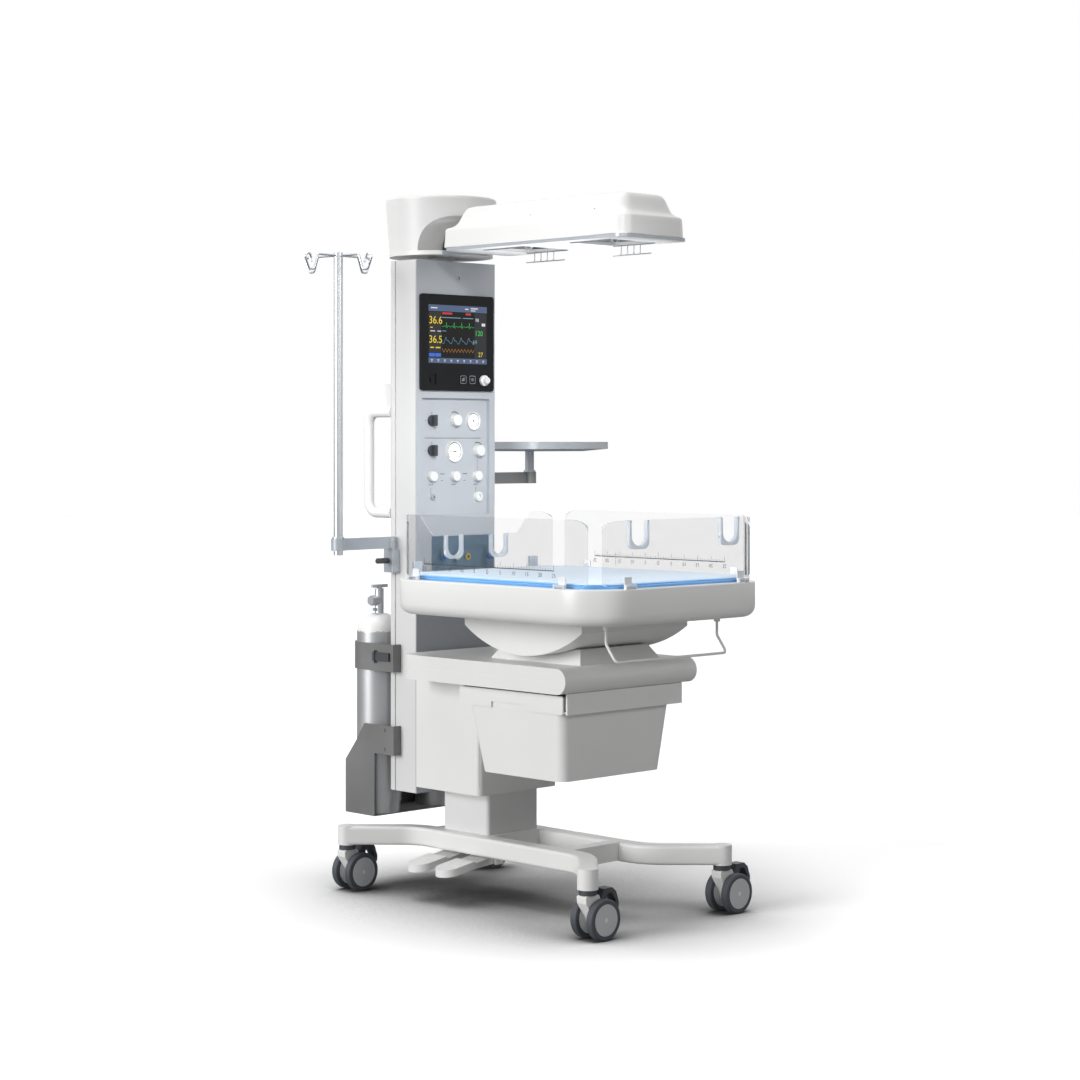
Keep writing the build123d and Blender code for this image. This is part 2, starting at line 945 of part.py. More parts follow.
# Monitor and its controls
def make_monitor():
    bezel = soft_block(
        -monitor_half, monitor_half, column_front - monitor_thick, column_front,
        monitor_bottom, monitor_top, monitor_round, Axis.Y,
    )
    face = column_front - monitor_thick
    bezel -= block(
        -screen_half, screen_half, face, face + screen_depth, screen_bottom, screen_top
    )
    x, z = encoder_place
    deep = face + monitor_thick / 2
    bezel += rod((x, deep, z), (x, face - spindle_length, z), spindle_radius)
    for x in button_places:
        half = button_half + running_gap
        bezel -= soft_block(
            x - half, x + half, face, deep + button_travel_room / 2, button_height - half,
            button_height + half, button_round + running_gap, Axis.Y,
        )
    half, rise = port_size[0] / 2, port_size[1] / 2
    bezel -= soft_block(
        port_x - half, port_x + half, face, face + port_depth, port_height - rise, port_height + rise,
        port_round, Axis.Y,
    )
    bezel += rod((port_x, face + port_depth, port_height), (port_x, face, port_height), port_pin)
    return [bezel]


def make_screen():
    face = column_front - monitor_thick
    return [
        block(
            -screen_half + running_gap, screen_half - running_gap, face + screen_depth - screen_glass,
            face + screen_depth, screen_bottom + running_gap, screen_top - running_gap,
        )
    ]


def make_button(x):
    face = column_front - monitor_thick
    back = face + monitor_thick / 2 + button_travel_room / 2 - button_travel_room
    return [
        soft_block(
            x - button_half, x + button_half, face - button_proud, back, button_height - button_half,
            button_height + button_half, button_round, Axis.Y,
        )
    ]


def round_knob(x, z, face, radius, height, flutes=0):
    """A turned knob standing off a front face, with a blind bore for its spindle."""
    start = (x, face - seat_gap, z)
    knob = rod(start, (x, face - height, z), radius)
    tip = knob.edges().filter_by(GeomType.CIRCLE).sort_by(Axis.Y)[0]
    knob = fillet(tip, knob_round)
    for index in range(flutes):
        angle = math.tau * index / flutes
        dx = radius * math.cos(angle)
        dz = radius * math.sin(angle)
        knob -= rod(
            (x + dx, face - height, z + dz), (x + dx, face - seat_gap, z + dz), radius * knob_flute_share
        )
    bore = spindle_radius + running_gap
    knob -= rod(start, (x, face - spindle_length - seat_gap, z), bore)
    return knob


def make_encoder():
    x, z = encoder_place
    face = column_front - monitor_thick
    tip = rod((x, face - encoder_base, z), (x, face - encoder_height, z), encoder_tip_radius)
    end = tip.edges().filter_by(GeomType.CIRCLE).sort_by(Axis.Y)[0]
    base = rod((x, face - seat_gap, z), (x, face - encoder_base, z), encoder_radius)
    rim = base.edges().filter_by(GeomType.CIRCLE).sort_by(Axis.Y)[0]
    knob = fillet(rim, knob_round) + fillet(end, knob_round)
    bore = spindle_radius + running_gap
    return [knob - rod((x, face, z), (x, face - spindle_length - seat_gap, z), bore)]


# Gas panel and its controls
gas_face = column_front + gas_recess


def make_gas_panel():
    side = gas_half - fit_gap
    low = gas_bottom + fit_gap
    high = gas_top - fit_gap
    panel = block(-side, side, column_front, gas_face + gas_wall, low, high)
    panel -= soft_block(
        -side + gas_wall, side - gas_wall, column_front, gas_face, low + gas_wall, high - gas_wall,
        gas_round, Axis.Y,
    )
    panel -= block(
        -divider_half, divider_half, gas_face, gas_face + divider_depth,
        divider_height - divider_width / 2, divider_height + divider_width / 2,
    )
    spindles = [(selector_x, z) for z in selector_heights]
    spindles += list(flow_knobs)
    spindles += [(x, row_height) for x in row_knobs]
    for x, z in spindles:
        panel += rod((x, gas_face, z), (x, gas_face - spindle_length, z), spindle_radius)
    pieces = [panel]
    for x, z, radius, bore in outlets:
        port = rod((x, gas_face, z), (x, gas_face - outlet_proud, z), radius)
        port -= rod(
            (x, gas_face - outlet_proud, z), (x, gas_face - outlet_proud + outlet_bore_depth, z), bore
        )
        pieces.append(port)
    return pieces


def make_selector(index):
    z = selector_heights[index]
    start = (selector_x, gas_face - seat_gap, z)
    knob = rod(start, (selector_x, gas_face - selector_base, z), selector_radius)
    knob += soft_block(
        selector_x - selector_grip_width / 2, selector_x + selector_grip_width / 2,
        gas_face - selector_base - selector_grip, gas_face - selector_base,
        z - selector_radius, z + selector_radius, knob_round, Axis.Y,
    )
    knob -= rod(
        start, (selector_x, gas_face - spindle_length - seat_gap, z), spindle_radius + running_gap
    )
    return [knob]


def make_gauges():
    pieces = []
    for (x, z, radius), angle in zip(gauges, needle_angles):
        front = gas_face - gauge_depth
        dial = front + gauge_dial_depth
        inner = radius - gauge_rim
        case = rod((x, gas_face, z), (x, front, z), radius)
        rims = case.edges().filter_by(GeomType.CIRCLE).sort_by(Axis.Y)[0]
        case = fillet(rims, knob_round)
        case -= rod((x, front, z), (x, dial, z), inner)
        hub = rod((x, dial, z), (x, dial - needle_thick, z), needle_hub)
        needle = hub + block(
            x - needle_width / 2, x + needle_width / 2, dial - needle_thick, dial,
            z, z + inner * needle_share,
        )
        needle += block(
            x - needle_width, x + needle_width, dial - needle_thick, dial,
            z - inner * needle_tail_share, z,
        )
        needle = Pos(x, 0, z) * Rot(0, angle, 0) * Pos(-x, 0, -z) * needle
        glass = rod(
            (x, front + needle_thick, z), (x, front + needle_thick + glass_thick, z), inner - running_gap
        )
        pieces += [case, needle, glass]
    return pieces


# Head and hood
def make_head():
    shell_low = Pos(0, head_y, head_plate_top) * Circle(head_low_radius)
    shell_high = Pos(0, head_y, head_top) * Circle(head_high_radius)
    shell = loft([shell_low, shell_high])
    shell = fillet(shell.edges().filter_by(GeomType.CIRCLE).sort_by(Axis.Z)[-1], head_round)
    scoop = rod(
        (-head_high_radius, scoop_y, head_plate_top), (head_high_radius, scoop_y, head_plate_top),
        scoop_radius,
    )
    scoop_wall = rod(
        (-head_high_radius, scoop_y, head_plate_top), (head_high_radius, scoop_y, head_plate_top),
        scoop_radius + head_wall,
    )
    cavity = rod(
        (0, head_y, head_plate_top), (0, head_y, head_top - head_wall * 2), head_low_radius - head_wall * 2
    )
    shell = shell - scoop - (cavity - scoop_wall)
    plate = rod((0, head_y, neck_top + seat_gap), (0, head_y, head_plate_top), head_plate_radius)
    plate -= rod((0, head_y, neck_top), (0, head_y, head_plate_top), spigot_radius + running_gap)
    return shell, plate


def make_hood_arm():
    arm = soft_block(
        -arm_half, arm_half, hood_rear - hood_round, arm_rear, arm_bottom, arm_top, arm_wall, Axis.Y
    )
    arm -= block(
        -arm_half + arm_wall, arm_half - arm_wall, hood_rear - hood_round, arm_rear,
        arm_bottom + arm_wall, arm_top - arm_wall,
    )
    return arm


def hood_solid(inset):
    """The hood's outside, or its inside when inset by the wall."""
    length = hood_rear - hood_front
    middle = (hood_rear + hood_front) / 2
    top_middle = (hood_top_rear + hood_top_front) / 2
    top_length = hood_top_rear - hood_top_front
    low = Pos(0, middle, skirt_bottom) * RectangleRounded(
        (hood_half - inset) * 2, length - inset * 2, hood_round - inset
    )
    skirt = extrude(low, skirt_top - skirt_bottom)
    waist = Pos(0, middle, skirt_top) * RectangleRounded(
        (hood_half - inset) * 2, length - inset * 2, hood_round - inset
    )
    top = Pos(0, top_middle, hood_top - inset) * RectangleRounded(
        (hood_top_half - inset) * 2, top_length - inset * 2, hood_top_round - inset
    )
    return skirt + loft([waist, top])


def make_hood():
    outer = hood_solid(0)
    ridge = outer.edges().group_by(Axis.Z)[-1]
    outer = fillet(ridge, hood_edge_round)
    shell = outer - hood_solid(hood_wall)
    passage = block(
        -arm_half, arm_half, hood_rear - hood_round, hood_rear, arm_bottom, arm_top
    )
    shell -= passage
    screws = []
    lean = math.atan2(hood_half - hood_top_half, hood_top - skirt_top)
    for along_share, up_share in hood_screws:
        y = hood_front + (hood_rear - hood_front) * along_share
        z = skirt_top + (hood_top - skirt_top) * up_share
        x = -hood_half + (hood_half - hood_top_half) * up_share
        out = Vector(-math.cos(lean), 0, math.sin(lean))
        centre = Vector(x, y, z)
        screw = rod(
            tuple(centre - out * hood_screw_sunk), tuple(centre + out * hood_screw_proud), hood_screw_radius,
        )
        shell -= screw
        screws.append(screw)
    return [shell] + screws


def make_underframe():
    frame = soft_block(
        -hood_half, hood_half, hood_front, hood_rear, rim_bottom, skirt_bottom, hood_round
    )
    for front, rear in heater_spans:
        frame -= block(-heater_half, heater_half, front, rear, rim_bottom, skirt_bottom)
    return [frame]


def make_reflectors():
    pieces = []
    top = skirt_bottom + reflector_height
    for front, rear in heater_spans:
        low = Pos(0, (front + rear) / 2, skirt_bottom)
        high = Pos(0, (front + rear) / 2, top)
        width = heater_half * 2
        depth = rear - front
        flange = block(
            -heater_half - reflector_draw, heater_half + reflector_draw, front - reflector_draw,
            rear + reflector_draw, skirt_bottom, skirt_bottom + reflector_wall,
        )
        outer = loft([
            low * Rectangle(width, depth),
            high * Rectangle(width - reflector_draw * 2, depth - reflector_draw * 2),
        ])
        cut = reflector_wall * 2
        inner = loft([
            low * Rectangle(width - cut, depth - cut),
            Pos(0, 0, -reflector_wall) * high * Rectangle(
                width - cut - reflector_draw * 2, depth - cut - reflector_draw * 2
            ),
        ])
        pan = flange + outer - inner
        middle = (front + rear) / 2
        z = skirt_bottom + reflector_height / 2
        reach = heater_half - reflector_draw / 2 - reflector_wall
        element = rod((-reach, middle, z), (reach, middle, z), element_radius)
        pan -= rod((-heater_half, middle, z), (heater_half, middle, z), element_radius)
        end = heater_half - reflector_draw
        for side in (-1, 1):
            element += rod(
                (end * side, middle, z), ((end - element_cap) * side, middle, z), element_cap
            )
        pan -= element
        pieces += [pan, element]
    return pieces


def make_guards():
    pieces = []
    half = heater_half - guard_inset
    low = guard_bottom
    high = rim_bottom
    for front, rear in heater_spans:
        first = front + guard_inset
        last = rear - guard_inset
        pitch = (last - first) / (guard_count - 1)
        guard = None
        for index in range(guard_count):
            y = first + pitch * index
            hoop = bent_bar(
                ((-half, y, high), (-half, y, low), (half, y, low), (half, y, high)),
                guard_wire, guard_bend,
            )
            guard = hoop if guard is None else guard + hoop
        for x in (-half + guard_bend, 0, half - guard_bend):
            guard += rod((x, first, low), (x, last, low), guard_wire)
        for x in (-half, half):
            guard += rod((x, first - guard_inset, high - guard_wire),
                         (x, last + guard_inset, high - guard_wire), guard_wire)
        pieces.append(guard)
    return pieces


# Push handles and terminal box
def make_handles():
    pieces = []
    for x in (-handle_x, handle_x):
        root = column_rear
        grip = bent_bar(
            ((x, root, handle_bottom), (x, handle_y, handle_bottom), (x, handle_y, handle_top),
             (x, root, handle_top)),
            handle_radius, handle_bend,
        )
        pieces.append(grip)
    return pieces


def make_terminal_box():
    box = soft_block(
        -terminal_half, terminal_half, column_rear, terminal_rear, terminal_bottom, terminal_top,
        terminal_round, Axis.X,
    )
    pieces = [box]
    middle = (column_rear + terminal_rear) / 2
    for x in (-gland_spacing, gland_spacing):
        gland = rod(
            (x, middle, terminal_bottom), (x, middle, terminal_bottom - gland_length), gland_radius
        )
        gland -= rod(
            (x, middle, terminal_bottom), (x, middle, terminal_bottom - gland_length), gland_bore
        )
        pieces.append(gland)
    return pieces


# Accessory brackets, drip pole and monitor shelf
pivot_x = column_half + pivot_reach
arm_low_left = left_bracket_bottom + bracket_height
arm_low_right = right_bracket_bottom + bracket_height


def make_bracket(bottom):
    """A clamp block on the right side of the column with a pivot on top."""
    y = column_slot_y
    top = bottom + bracket_height
    body = soft_block(
        column_half, column_half + bracket_reach, y - bracket_half, y + bracket_half, bottom, top,
        bracket_round,
    )
    body += block(
        column_half - bracket_key, column_half + bracket_round,
        y - column_slot_width / 2 + running_gap, y + column_slot_width / 2 - running_gap, bottom, top,
    )
    body += rod((pivot_x, y, top), (pivot_x, y, top + arm_height), pivot_radius)
    outer = column_half + bracket_reach
    z = top - thumb_drop
    body += rod((outer - bracket_round, y, z), (outer + thumb_spindle_length, y, z), thumb_spindle)
    return body


def make_thumb_knob(bottom):
    outer = column_half + bracket_reach
    y = column_slot_y
    z = bottom + bracket_height - thumb_drop
    start = (outer + seat_gap, y, z)
    knob = rod(start, (outer + thumb_length, y, z), thumb_radius)
    knob = fillet(knob.edges().filter_by(GeomType.CIRCLE).sort_by(Axis.X)[-1], knob_round)
    for index in range(knob_flutes):
        angle = math.tau * index / knob_flutes
        dy = thumb_radius * math.cos(angle)
        dz = thumb_radius * math.sin(angle)
        knob -= rod(
            (outer + seat_gap, y + dy, z + dz), (outer + thumb_length, y + dy, z + dz),
            thumb_radius * knob_flute_share,
        )
    knob -= rod(start, (outer + thumb_spindle_length + seat_gap, y, z), thumb_spindle + running_gap)
    return knob


def make_swing_arm(low, end_x, bore, end_radius):
    """A flat arm from the bracket's pivot to a ring at its outer end."""
    y = column_slot_y
    z0 = low + seat_gap
    z1 = low + arm_height
    arm = block(pivot_x, end_x, y - arm_thick / 2, y + arm_thick / 2, z0, z1)
    arm += rod((pivot_x, y, z0), (pivot_x, y, z1), pivot_boss)
    arm += rod((end_x, y, z0), (end_x, y, z1), end_radius)
    arm -= rod((pivot_x, y, low), (pivot_x, y, z1), pivot_radius + running_gap)
    arm -= rod((end_x, y, low), (end_x, y, z1), bore)
    return arm


def make_pole():
    y = column_slot_y
    x = -pole_x
    pole = rod((x, y, pole_bottom), (x, y, pole_top), pole_radius)
    clamp_top = arm_low_left + arm_height + seat_gap
    pole += rod((x, y, clamp_top), (x, y, clamp_top + pole_collar_height), pole_collar)
    points = [(x + reach, y, hook_height + drop) for reach, drop in hook_path]
    hook = bent_bar(points, hook_wire, hook_bend)
    for index in range(hook_count):
        pole += turned(hook, x, y, hook_turn + full_turn * index / hook_count)
    return [pole]


def make_shelf():
    x = shelf_post_x
    y = column_slot_y
    under = shelf_top - shelf_edge
    plate = soft_block(
        x - shelf_half_width, x + shelf_half_width, y - shelf_half_depth, y + shelf_half_depth,
        under, shelf_top, shelf_round,
    )
    plate -= soft_block(
        x - shelf_half_width + shelf_rim, x + shelf_half_width - shelf_rim,
        y - shelf_half_depth + shelf_rim, y + shelf_half_depth - shelf_rim,
        shelf_top - shelf_rim_height, shelf_top, shelf_round - shelf_rim,
    )
    inset = shelf_under_inset
    pan = loft([
        Pos(x, y, under) * Rectangle((shelf_half_width - shelf_rim) * 2, (shelf_half_depth - shelf_rim) * 2),
        Pos(x, y, shelf_under) * Rectangle((shelf_half_width - inset) * 2, (shelf_half_depth - inset) * 2),
    ])
    post = rod((x, y, arm_low_right), (x, y, shelf_under), shelf_post_radius)
    rest = arm_low_right + arm_height + seat_gap
    post += rod((x, y, rest), (x, y, rest + pole_collar_height), shelf_collar)
    return [plate, pan, post]


# Gas cylinders and their brackets
def make_tanks():
    pieces = []
    for x in (-tank_x, tank_x):
        foot_top = tank_bottom + tank_foot
        foot = rod((x, tank_y, tank_bottom), (x, tank_y, foot_top), tank_radius - tank_foot_inset)
        dome = tank_neck - tank_shoulder
        outline = [
            Line((0, foot_top), (tank_radius, foot_top)),
            Line((tank_radius, foot_top), (tank_radius, tank_shoulder)),
            EllipticalCenterArc(
                (0, tank_shoulder), tank_radius, dome,
                start_angle=0, arc_size=math.degrees(math.acos(neck_share)),
            ),
        ]
        neck = outline[-1] @ 1
        outline += [Line(neck, (0, neck.Y)), Line((0, neck.Y), (0, foot_top))]
        body = revolve(Plane.XZ * make_face(outline), Axis.Z)
        pieces += [foot, Pos(x, tank_y, 0) * body]
    return pieces


neck_share = tank_neck_radius / tank_radius
tank_crown = tank_shoulder + (tank_neck - tank_shoulder) * math.sqrt(1 - neck_share ** 2)


def make_valves():
    pieces = []
    for x in (-tank_x, tank_x):
        valve = rod((x, tank_y, tank_crown), (x, tank_y, valve_top), valve_half)
        plane = Plane(origin=(x, tank_y, valve_hex_height), z_dir=(-1, 0, 0))
        valve += extrude(plane * RegularPolygon(valve_hex, valve_hex_sides), valve_hex_far)
        valve += rod(
            (x, tank_y, valve_port_height), (x - valve_port_reach, tank_y, valve_port_height),
            valve_port_radius,
        )
        valve -= rod(
            (x, tank_y, valve_top - tee_stem_depth - seat_gap), (x, tank_y, valve_top),
            tee_stem + running_gap,
        )
        pieces.append(valve)
    return pieces


def make_tee(x):
    low = valve_top + seat_gap
    bar_low = valve_top + tee_lift
    bar = soft_block(
        x - tee_length / 2, x + tee_length / 2, tank_y - tee_width / 2, tank_y + tee_width / 2,
        bar_low, bar_low + tee_height, tee_lift,
    )
    bar += rod((x, tank_y, low), (x, tank_y, bar_low + tee_height), tee_boss)
    bar += rod((x, tank_y, valve_top - tee_stem_depth), (x, tank_y, bar_low), tee_stem)
    return [bar]


def hoop_outline(grow, front):
    half = tank_x + tank_radius + hoop_clearance + grow
    rear = tank_y + tank_radius + hoop_clearance + grow
    face = Polygon((-half, front), (half, front), (half, rear), (-half, rear), align=None)
    return fillet(face.vertices().group_by(Axis.Y)[-1], tank_radius + hoop_clearance + grow)


hoop_half = tank_x + tank_radius + hoop_clearance + hoop_thick
latch_x = -(hoop_half + latch_barrel + seat_gap)


def make_hoop():
    height = hoop_top - hoop_bottom
    face = hoop_outline(hoop_thick, hoop_front) - hoop_outline(0, hoop_front + hoop_thick)
    hoop = extrude(Pos(0, 0, hoop_bottom) * face, height)
    hoop -= block(-column_half, column_half, hoop_front, column_rear, hoop_bottom, hoop_top)
    for low, high in (
        (latch_bottom - seat_gap - latch_lug, latch_bottom - seat_gap),
        (latch_top + seat_gap, latch_top + seat_gap + latch_lug),
    ):
        hoop += block(
            latch_x - latch_barrel, -hoop_half + hoop_thick / 2, latch_pivot_y - latch_barrel,
            latch_pivot_y + latch_barrel, low, high,
        )
    hoop += rod(
        (latch_x, latch_pivot_y, latch_bottom - latch_lug), (latch_x, latch_pivot_y, latch_top + latch_lug),
        latch_pin,
    )
    return [hoop]


def make_latch():
    lever = rod(
        (latch_x, latch_pivot_y, latch_bottom), (latch_x, latch_pivot_y, latch_top), latch_barrel
    )
    lever += soft_block(
        latch_x, latch_x + latch_plate, latch_front, latch_pivot_y, latch_bottom, latch_top,
        lever_round, Axis.X,
    )
    lever -= rod(
        (latch_x, latch_pivot_y, latch_bottom), (latch_x, latch_pivot_y, latch_top),
        latch_pin + running_gap,
    )
    return [lever]


def make_tank_cradle():
    low = tank_bottom - cradle_thick
    rear = tank_y + tank_radius + hoop_clearance + cradle_thick
    outline = (
        (hoop_front, cradle_arm_bottom), (cradle_floor_front, cradle_arm_bottom),
        (cradle_floor_front, low), (rear, low), (rear, cradle_back_height),
        (cradle_slope_rear, cradle_slope_height), (cradle_top_rear, cradle_arm_top),
        (hoop_front, cradle_arm_top),
    )
    cradle = block(-cradle_side, cradle_side, cradle_floor_front, rear, low, tank_bottom)
    cradle += block(
        -cradle_side, cradle_side, rear - cradle_thick, rear, low, cradle_back_height
    )
    for side in (-1, 1):
        x0, x1 = sorted((cradle_side * side, (cradle_side - cradle_thick) * side))
        cradle += side_prism(outline, x0, x1)
        x0, x1 = sorted((cradle_side * side, column_half * side))
        cradle += block(
            x0, x1, hoop_front, hoop_front + cradle_thick, cradle_arm_bottom, cradle_arm_top
        )
    pieces = [cradle]
    for side in (-1, 1):
        for z in bracket_screw_heights:
            pieces.append(
                rod(
                    (cradle_side * side, bracket_screw_y, z),
                    ((cradle_side + bracket_screw_proud) * side, bracket_screw_y, z),
                    bracket_screw_radius,
                )
            )
    return pieces


# Table slab and drawer
def make_slab():
    nose = (slab_top - slab_bottom) / 2
    middle = slab_bottom + nose
    slab = block(-slab_half, slab_half, slab_front + nose, slab_rear, slab_bottom, slab_top)
    corners = slab.edges().filter_by(Axis.Z).group_by(Axis.Y)[-1]
    slab = fillet(corners, slab_corner)
    slab += rod((-slab_half, slab_front + nose, middle), (slab_half, slab_front + nose, middle), nose)
    slab -= block(
        -rail_half + slab_wall, rail_half - slab_wall, bin_front, bin_rear, slab_bottom,
        slab_top - slab_wall,
    )
    for side in (-1, 1):
        x0, x1 = sorted((slab_half * side, (slab_half - slab_groove_depth) * side))
        slab -= block(
            x0, x1, slab_front + nose, slab_rear - slab_corner,
            slab_groove_height - slab_groove_width / 2, slab_groove_height + slab_groove_width / 2,
        )
    return [slab]


def make_drawer_rails():
    pieces = []
    ledge_top = rail_low + rail_ledge_thick
    front = block(-rail_half, rail_half, rail_plate_front, rail_plate_front + rail_plate, rail_low, slab_bottom)
    front += block(
        -rail_half + rail_plate, rail_half, rail_plate_front, rail_plate_front + rail_plate + rail_ledge,
        rail_low, ledge_top,
    )
    start = -rail_half + rail_plate
    rear = block(start, rail_half, rail_plate_rear - rail_plate, rail_plate_rear, rail_low, slab_bottom)
    rear += block(
        start, rail_half, rail_plate_rear - rail_plate - rail_ledge, rail_plate_rear, rail_low, ledge_top
    )
    pieces += [front, rear]
    return pieces


def bin_body(inset):
    low = bin_bottom + inset
    middle_y_low = (bin_front_low + bin_rear_low) / 2
    middle_y = (bin_front + bin_rear) / 2
    middle_x_low = (bin_left_low + bin_right_low) / 2
    middle_x = (bin_half_left + bin_right_top) / 2
    floor = Pos(middle_x_low, middle_y_low, low) * RectangleRounded(
        bin_right_low - bin_left_low - inset * 2, bin_rear_low - bin_front_low - inset * 2, bin_round - inset
    )
    mouth_width = bin_right_top - bin_half_left - inset * 2
    mouth_depth = bin_rear - bin_front - inset * 2
    mouth = Pos(middle_x, middle_y, rail_low) * RectangleRounded(mouth_width, mouth_depth, bin_round - inset)
    return loft([floor, mouth]) + extrude(mouth, bin_top - rail_low)


def make_drawer():
    ledge_top = rail_low + rail_ledge_thick
    lip_low = ledge_top + seat_gap
    body = bin_body(0)
    body += block(
        bin_half_left, bin_right_top, rail_plate_front + rail_plate + seat_gap,
        rail_plate_rear - rail_plate - seat_gap, lip_low, lip_low + lip_thick,
    )
    body -= bin_body(bin_wall)
    body -= block(
        bin_half_left, bin_right_top, rail_plate_front, bin_front, lip_low + lip_thick, bin_top
    )
    face_x = bin_half_left
    face = block(face_x - face_thick, face_x, face_front, face_rear, face_bottom, face_top)
    face = fillet(face.edges().filter_by(Axis.X), face_round)
    face -= block(
        face_x - face_thick, face_x, notch_front, notch_rear, face_bottom, face_bottom + notch_depth
    )
    return [body, face]


# Bed pedestal and cradle
def make_pedestal():
    middle = (pedestal_front + pedestal_rear) / 2
    depth = pedestal_rear - pedestal_front
    draw = pedestal_draw * 2
    body = loft([
        Pos(0, middle, slab_top) * Rectangle(pedestal_half * 2, depth),
        Pos(0, middle, pedestal_top) * Rectangle(pedestal_half * 2 - draw, depth - draw),
    ])
    body -= rod((-pedestal_half, tilt_y, tilt_z), (pedestal_half, tilt_y, tilt_z), seat_radius)
    return [body]


deck_under = tray_rim - tray_recess - tray_deck


def cradle_profile(inset, top):
    radius = cradle_radius - inset
    reach = bed_cradle_reach - inset
    side = tilt_z - math.sqrt(radius ** 2 - reach ** 2)
    lines = [
        ThreePointArc((tilt_y - reach, side), (tilt_y, tilt_z - radius), (tilt_y + reach, side)),
        Line((tilt_y + reach, side), (tilt_y + reach, top)),
        Line((tilt_y + reach, top), (tilt_y - reach, top)),
        Line((tilt_y - reach, top), (tilt_y - reach, side)),
    ]
    return make_face(lines)


def make_cradle():
    half = bed_cradle_half
    outer = extrude(Plane.YZ.offset(-half) * cradle_profile(0, deck_under), half * 2)
    inner_half = half - bed_cradle_wall
    inner = extrude(
        Plane.YZ.offset(-inner_half) * cradle_profile(bed_cradle_wall, deck_under), inner_half * 2
    )
    return [outer - inner]


# Tray and mattress
def bed_outline(outset):
    """The bed's plan, a rectangle with cut corners, grown or shrunk."""
    leg_share = 2 - math.sqrt(2)
    cut_x = panel_x - corner_flat_x + outset * leg_share
    cut_y = corner_flat_y + outset * leg_share
    x = panel_x + outset
    y0 = panel_front - outset
    y1 = panel_rear + outset
    return (
        (-x + cut_x, y0), (x - cut_x, y0), (x, y0 + cut_y), (x, y1 - cut_y),
        (x - cut_x, y1), (-x + cut_x, y1), (-x, y1 - cut_y), (-x, y0 + cut_y),
    )


hinge_side_places = (
    panel_front + corner_flat_y + hinge_inset,
    panel_rear - corner_flat_y - hinge_inset,
)
hinge_front_places = (-corner_flat_x + hinge_inset, corner_flat_x - hinge_inset)


def hinge_ears():
    """Two ears and a pin for a hinge whose panel stands at X = 0 and opens to the left."""
    x = -hinge_offset
    reach = hinge_length / 2 + seat_gap
    ears = rod((x, -reach - ear_length, hinge_height), (x, reach + ear_length, hinge_height), hinge_pin)
    for side in (-1, 1):
        y0, y1 = sorted((reach * side, (reach + ear_length) * side))
        ears += block(x - ear_half, x + ear_half, y0, y1, tray_rim, hinge_height)
        ears += rod((x, y0, hinge_height), (x, y1, hinge_height), ear_half)
    return ears


def hinge_bracket():
    x = -hinge_offset
    reach = hinge_length / 2
    face = -panel_thick / 2
    bracket = block(
        face - hinge_plate, face, -reach, reach, hinge_height, hinge_height + hinge_plate_height
    )
    bracket += block(x, face, -reach, reach, hinge_height, hinge_height + hinge_web)
    bracket += rod((x, -reach, hinge_height), (x, reach, hinge_height), hinge_barrel)
    bracket -= rod((x, -reach, hinge_height), (x, reach, hinge_height), hinge_pin + running_gap)
    return bracket


def side_places():
    return [Pos(-panel_x, y, 0) for y in hinge_side_places]


def front_places():
    return [Pos(x, panel_front, 0) * Rot(0, 0, full_turn / 4) for x in hinge_front_places]


def make_tray():
    tray = plan_prism(bed_outline(rim_outset), tray_bottom, tray_rim, tray_round)
    tray = fillet(tray.edges().group_by(Axis.Z)[0], tray_low_round)
    tray -= plan_prism(
        bed_outline(rim_outset - tray_lip), tray_rim - tray_recess, tray_rim, tray_round
    )
    tray -= plan_prism(
        bed_outline(rim_outset - tray_low_round - tray_wall), tray_bottom, deck_under, tray_round
    )
    for x in (-bail_x, bail_x):
        tray += rod((x, bail_y, bail_socket_bottom), (x, bail_y, deck_under), bail_socket)
        tray -= rod(
            (x, bail_y, bail_socket_bottom), (x, bail_y, bail_socket_bottom + bail_socket_depth),
            bail_radius + running_gap,
        )
    for place in side_places():
        ears = place * hinge_ears()
        tray += ears
        tray += mirrored(ears)
    for place in front_places():
        tray += place * hinge_ears()
    slot = panel_thick / 2 + seat_gap
    for x in (-guide_x, guide_x):
        guide = block(
            x - guide_length / 2, x + guide_length / 2, panel_rear - slot - guide_wall,
            panel_rear + slot + guide_wall, tray_rim, tray_rim + guide_height,
        )
        guide -= block(
            x - guide_length / 2, x + guide_length / 2, panel_rear - slot, panel_rear + slot,
            tray_rim, tray_rim + guide_height,
        )
        tray += guide
    return [tray]


def make_mattress():
    low = tray_rim - tray_recess
    outline = bed_outline(rim_outset - tray_lip - mattress_gap)
    pad = plan_prism(outline, low, mattress_top, tray_round)
    radius = (panel_x ** 2 + mattress_crown ** 2) / (mattress_crown * 2)
    middle = (panel_front + panel_rear) / 2
    pad = pad & (Pos(0, middle, mattress_top - radius) * Sphere(radius))
    top = pad.faces().filter_by(GeomType.SPHERE)[0]
    return [fillet(top.edges(), mattress_round)]


# Clear panels
def strip_points(points, offset):
    """An open path moved sideways, with mitred corners."""
    moved = []
    for index, point in enumerate(points):
        before = points[max(index - 1, 0)]
        after = points[min(index + 1, len(points) - 1)]
        normals = []
        for start, finish in ((before, point), (point, after)):
            run = Vector(finish[0] - start[0], finish[1] - start[1])
            if run.length > 0:
                normals.append(Vector(-run.Y, run.X) / run.length)
        mean = sum(normals, Vector(0, 0)) / len(normals)
        shift_by = mean / mean.dot(mean) * offset
        moved.append((point[0] + shift_by.X, point[1] + shift_by.Y))
    return moved


def bent_strip(points, z0, z1):
    near = strip_points(points, panel_thick / 2)
    far = strip_points(points, -panel_thick / 2)
    return plan_prism(near + far[::-1], z0, z1)


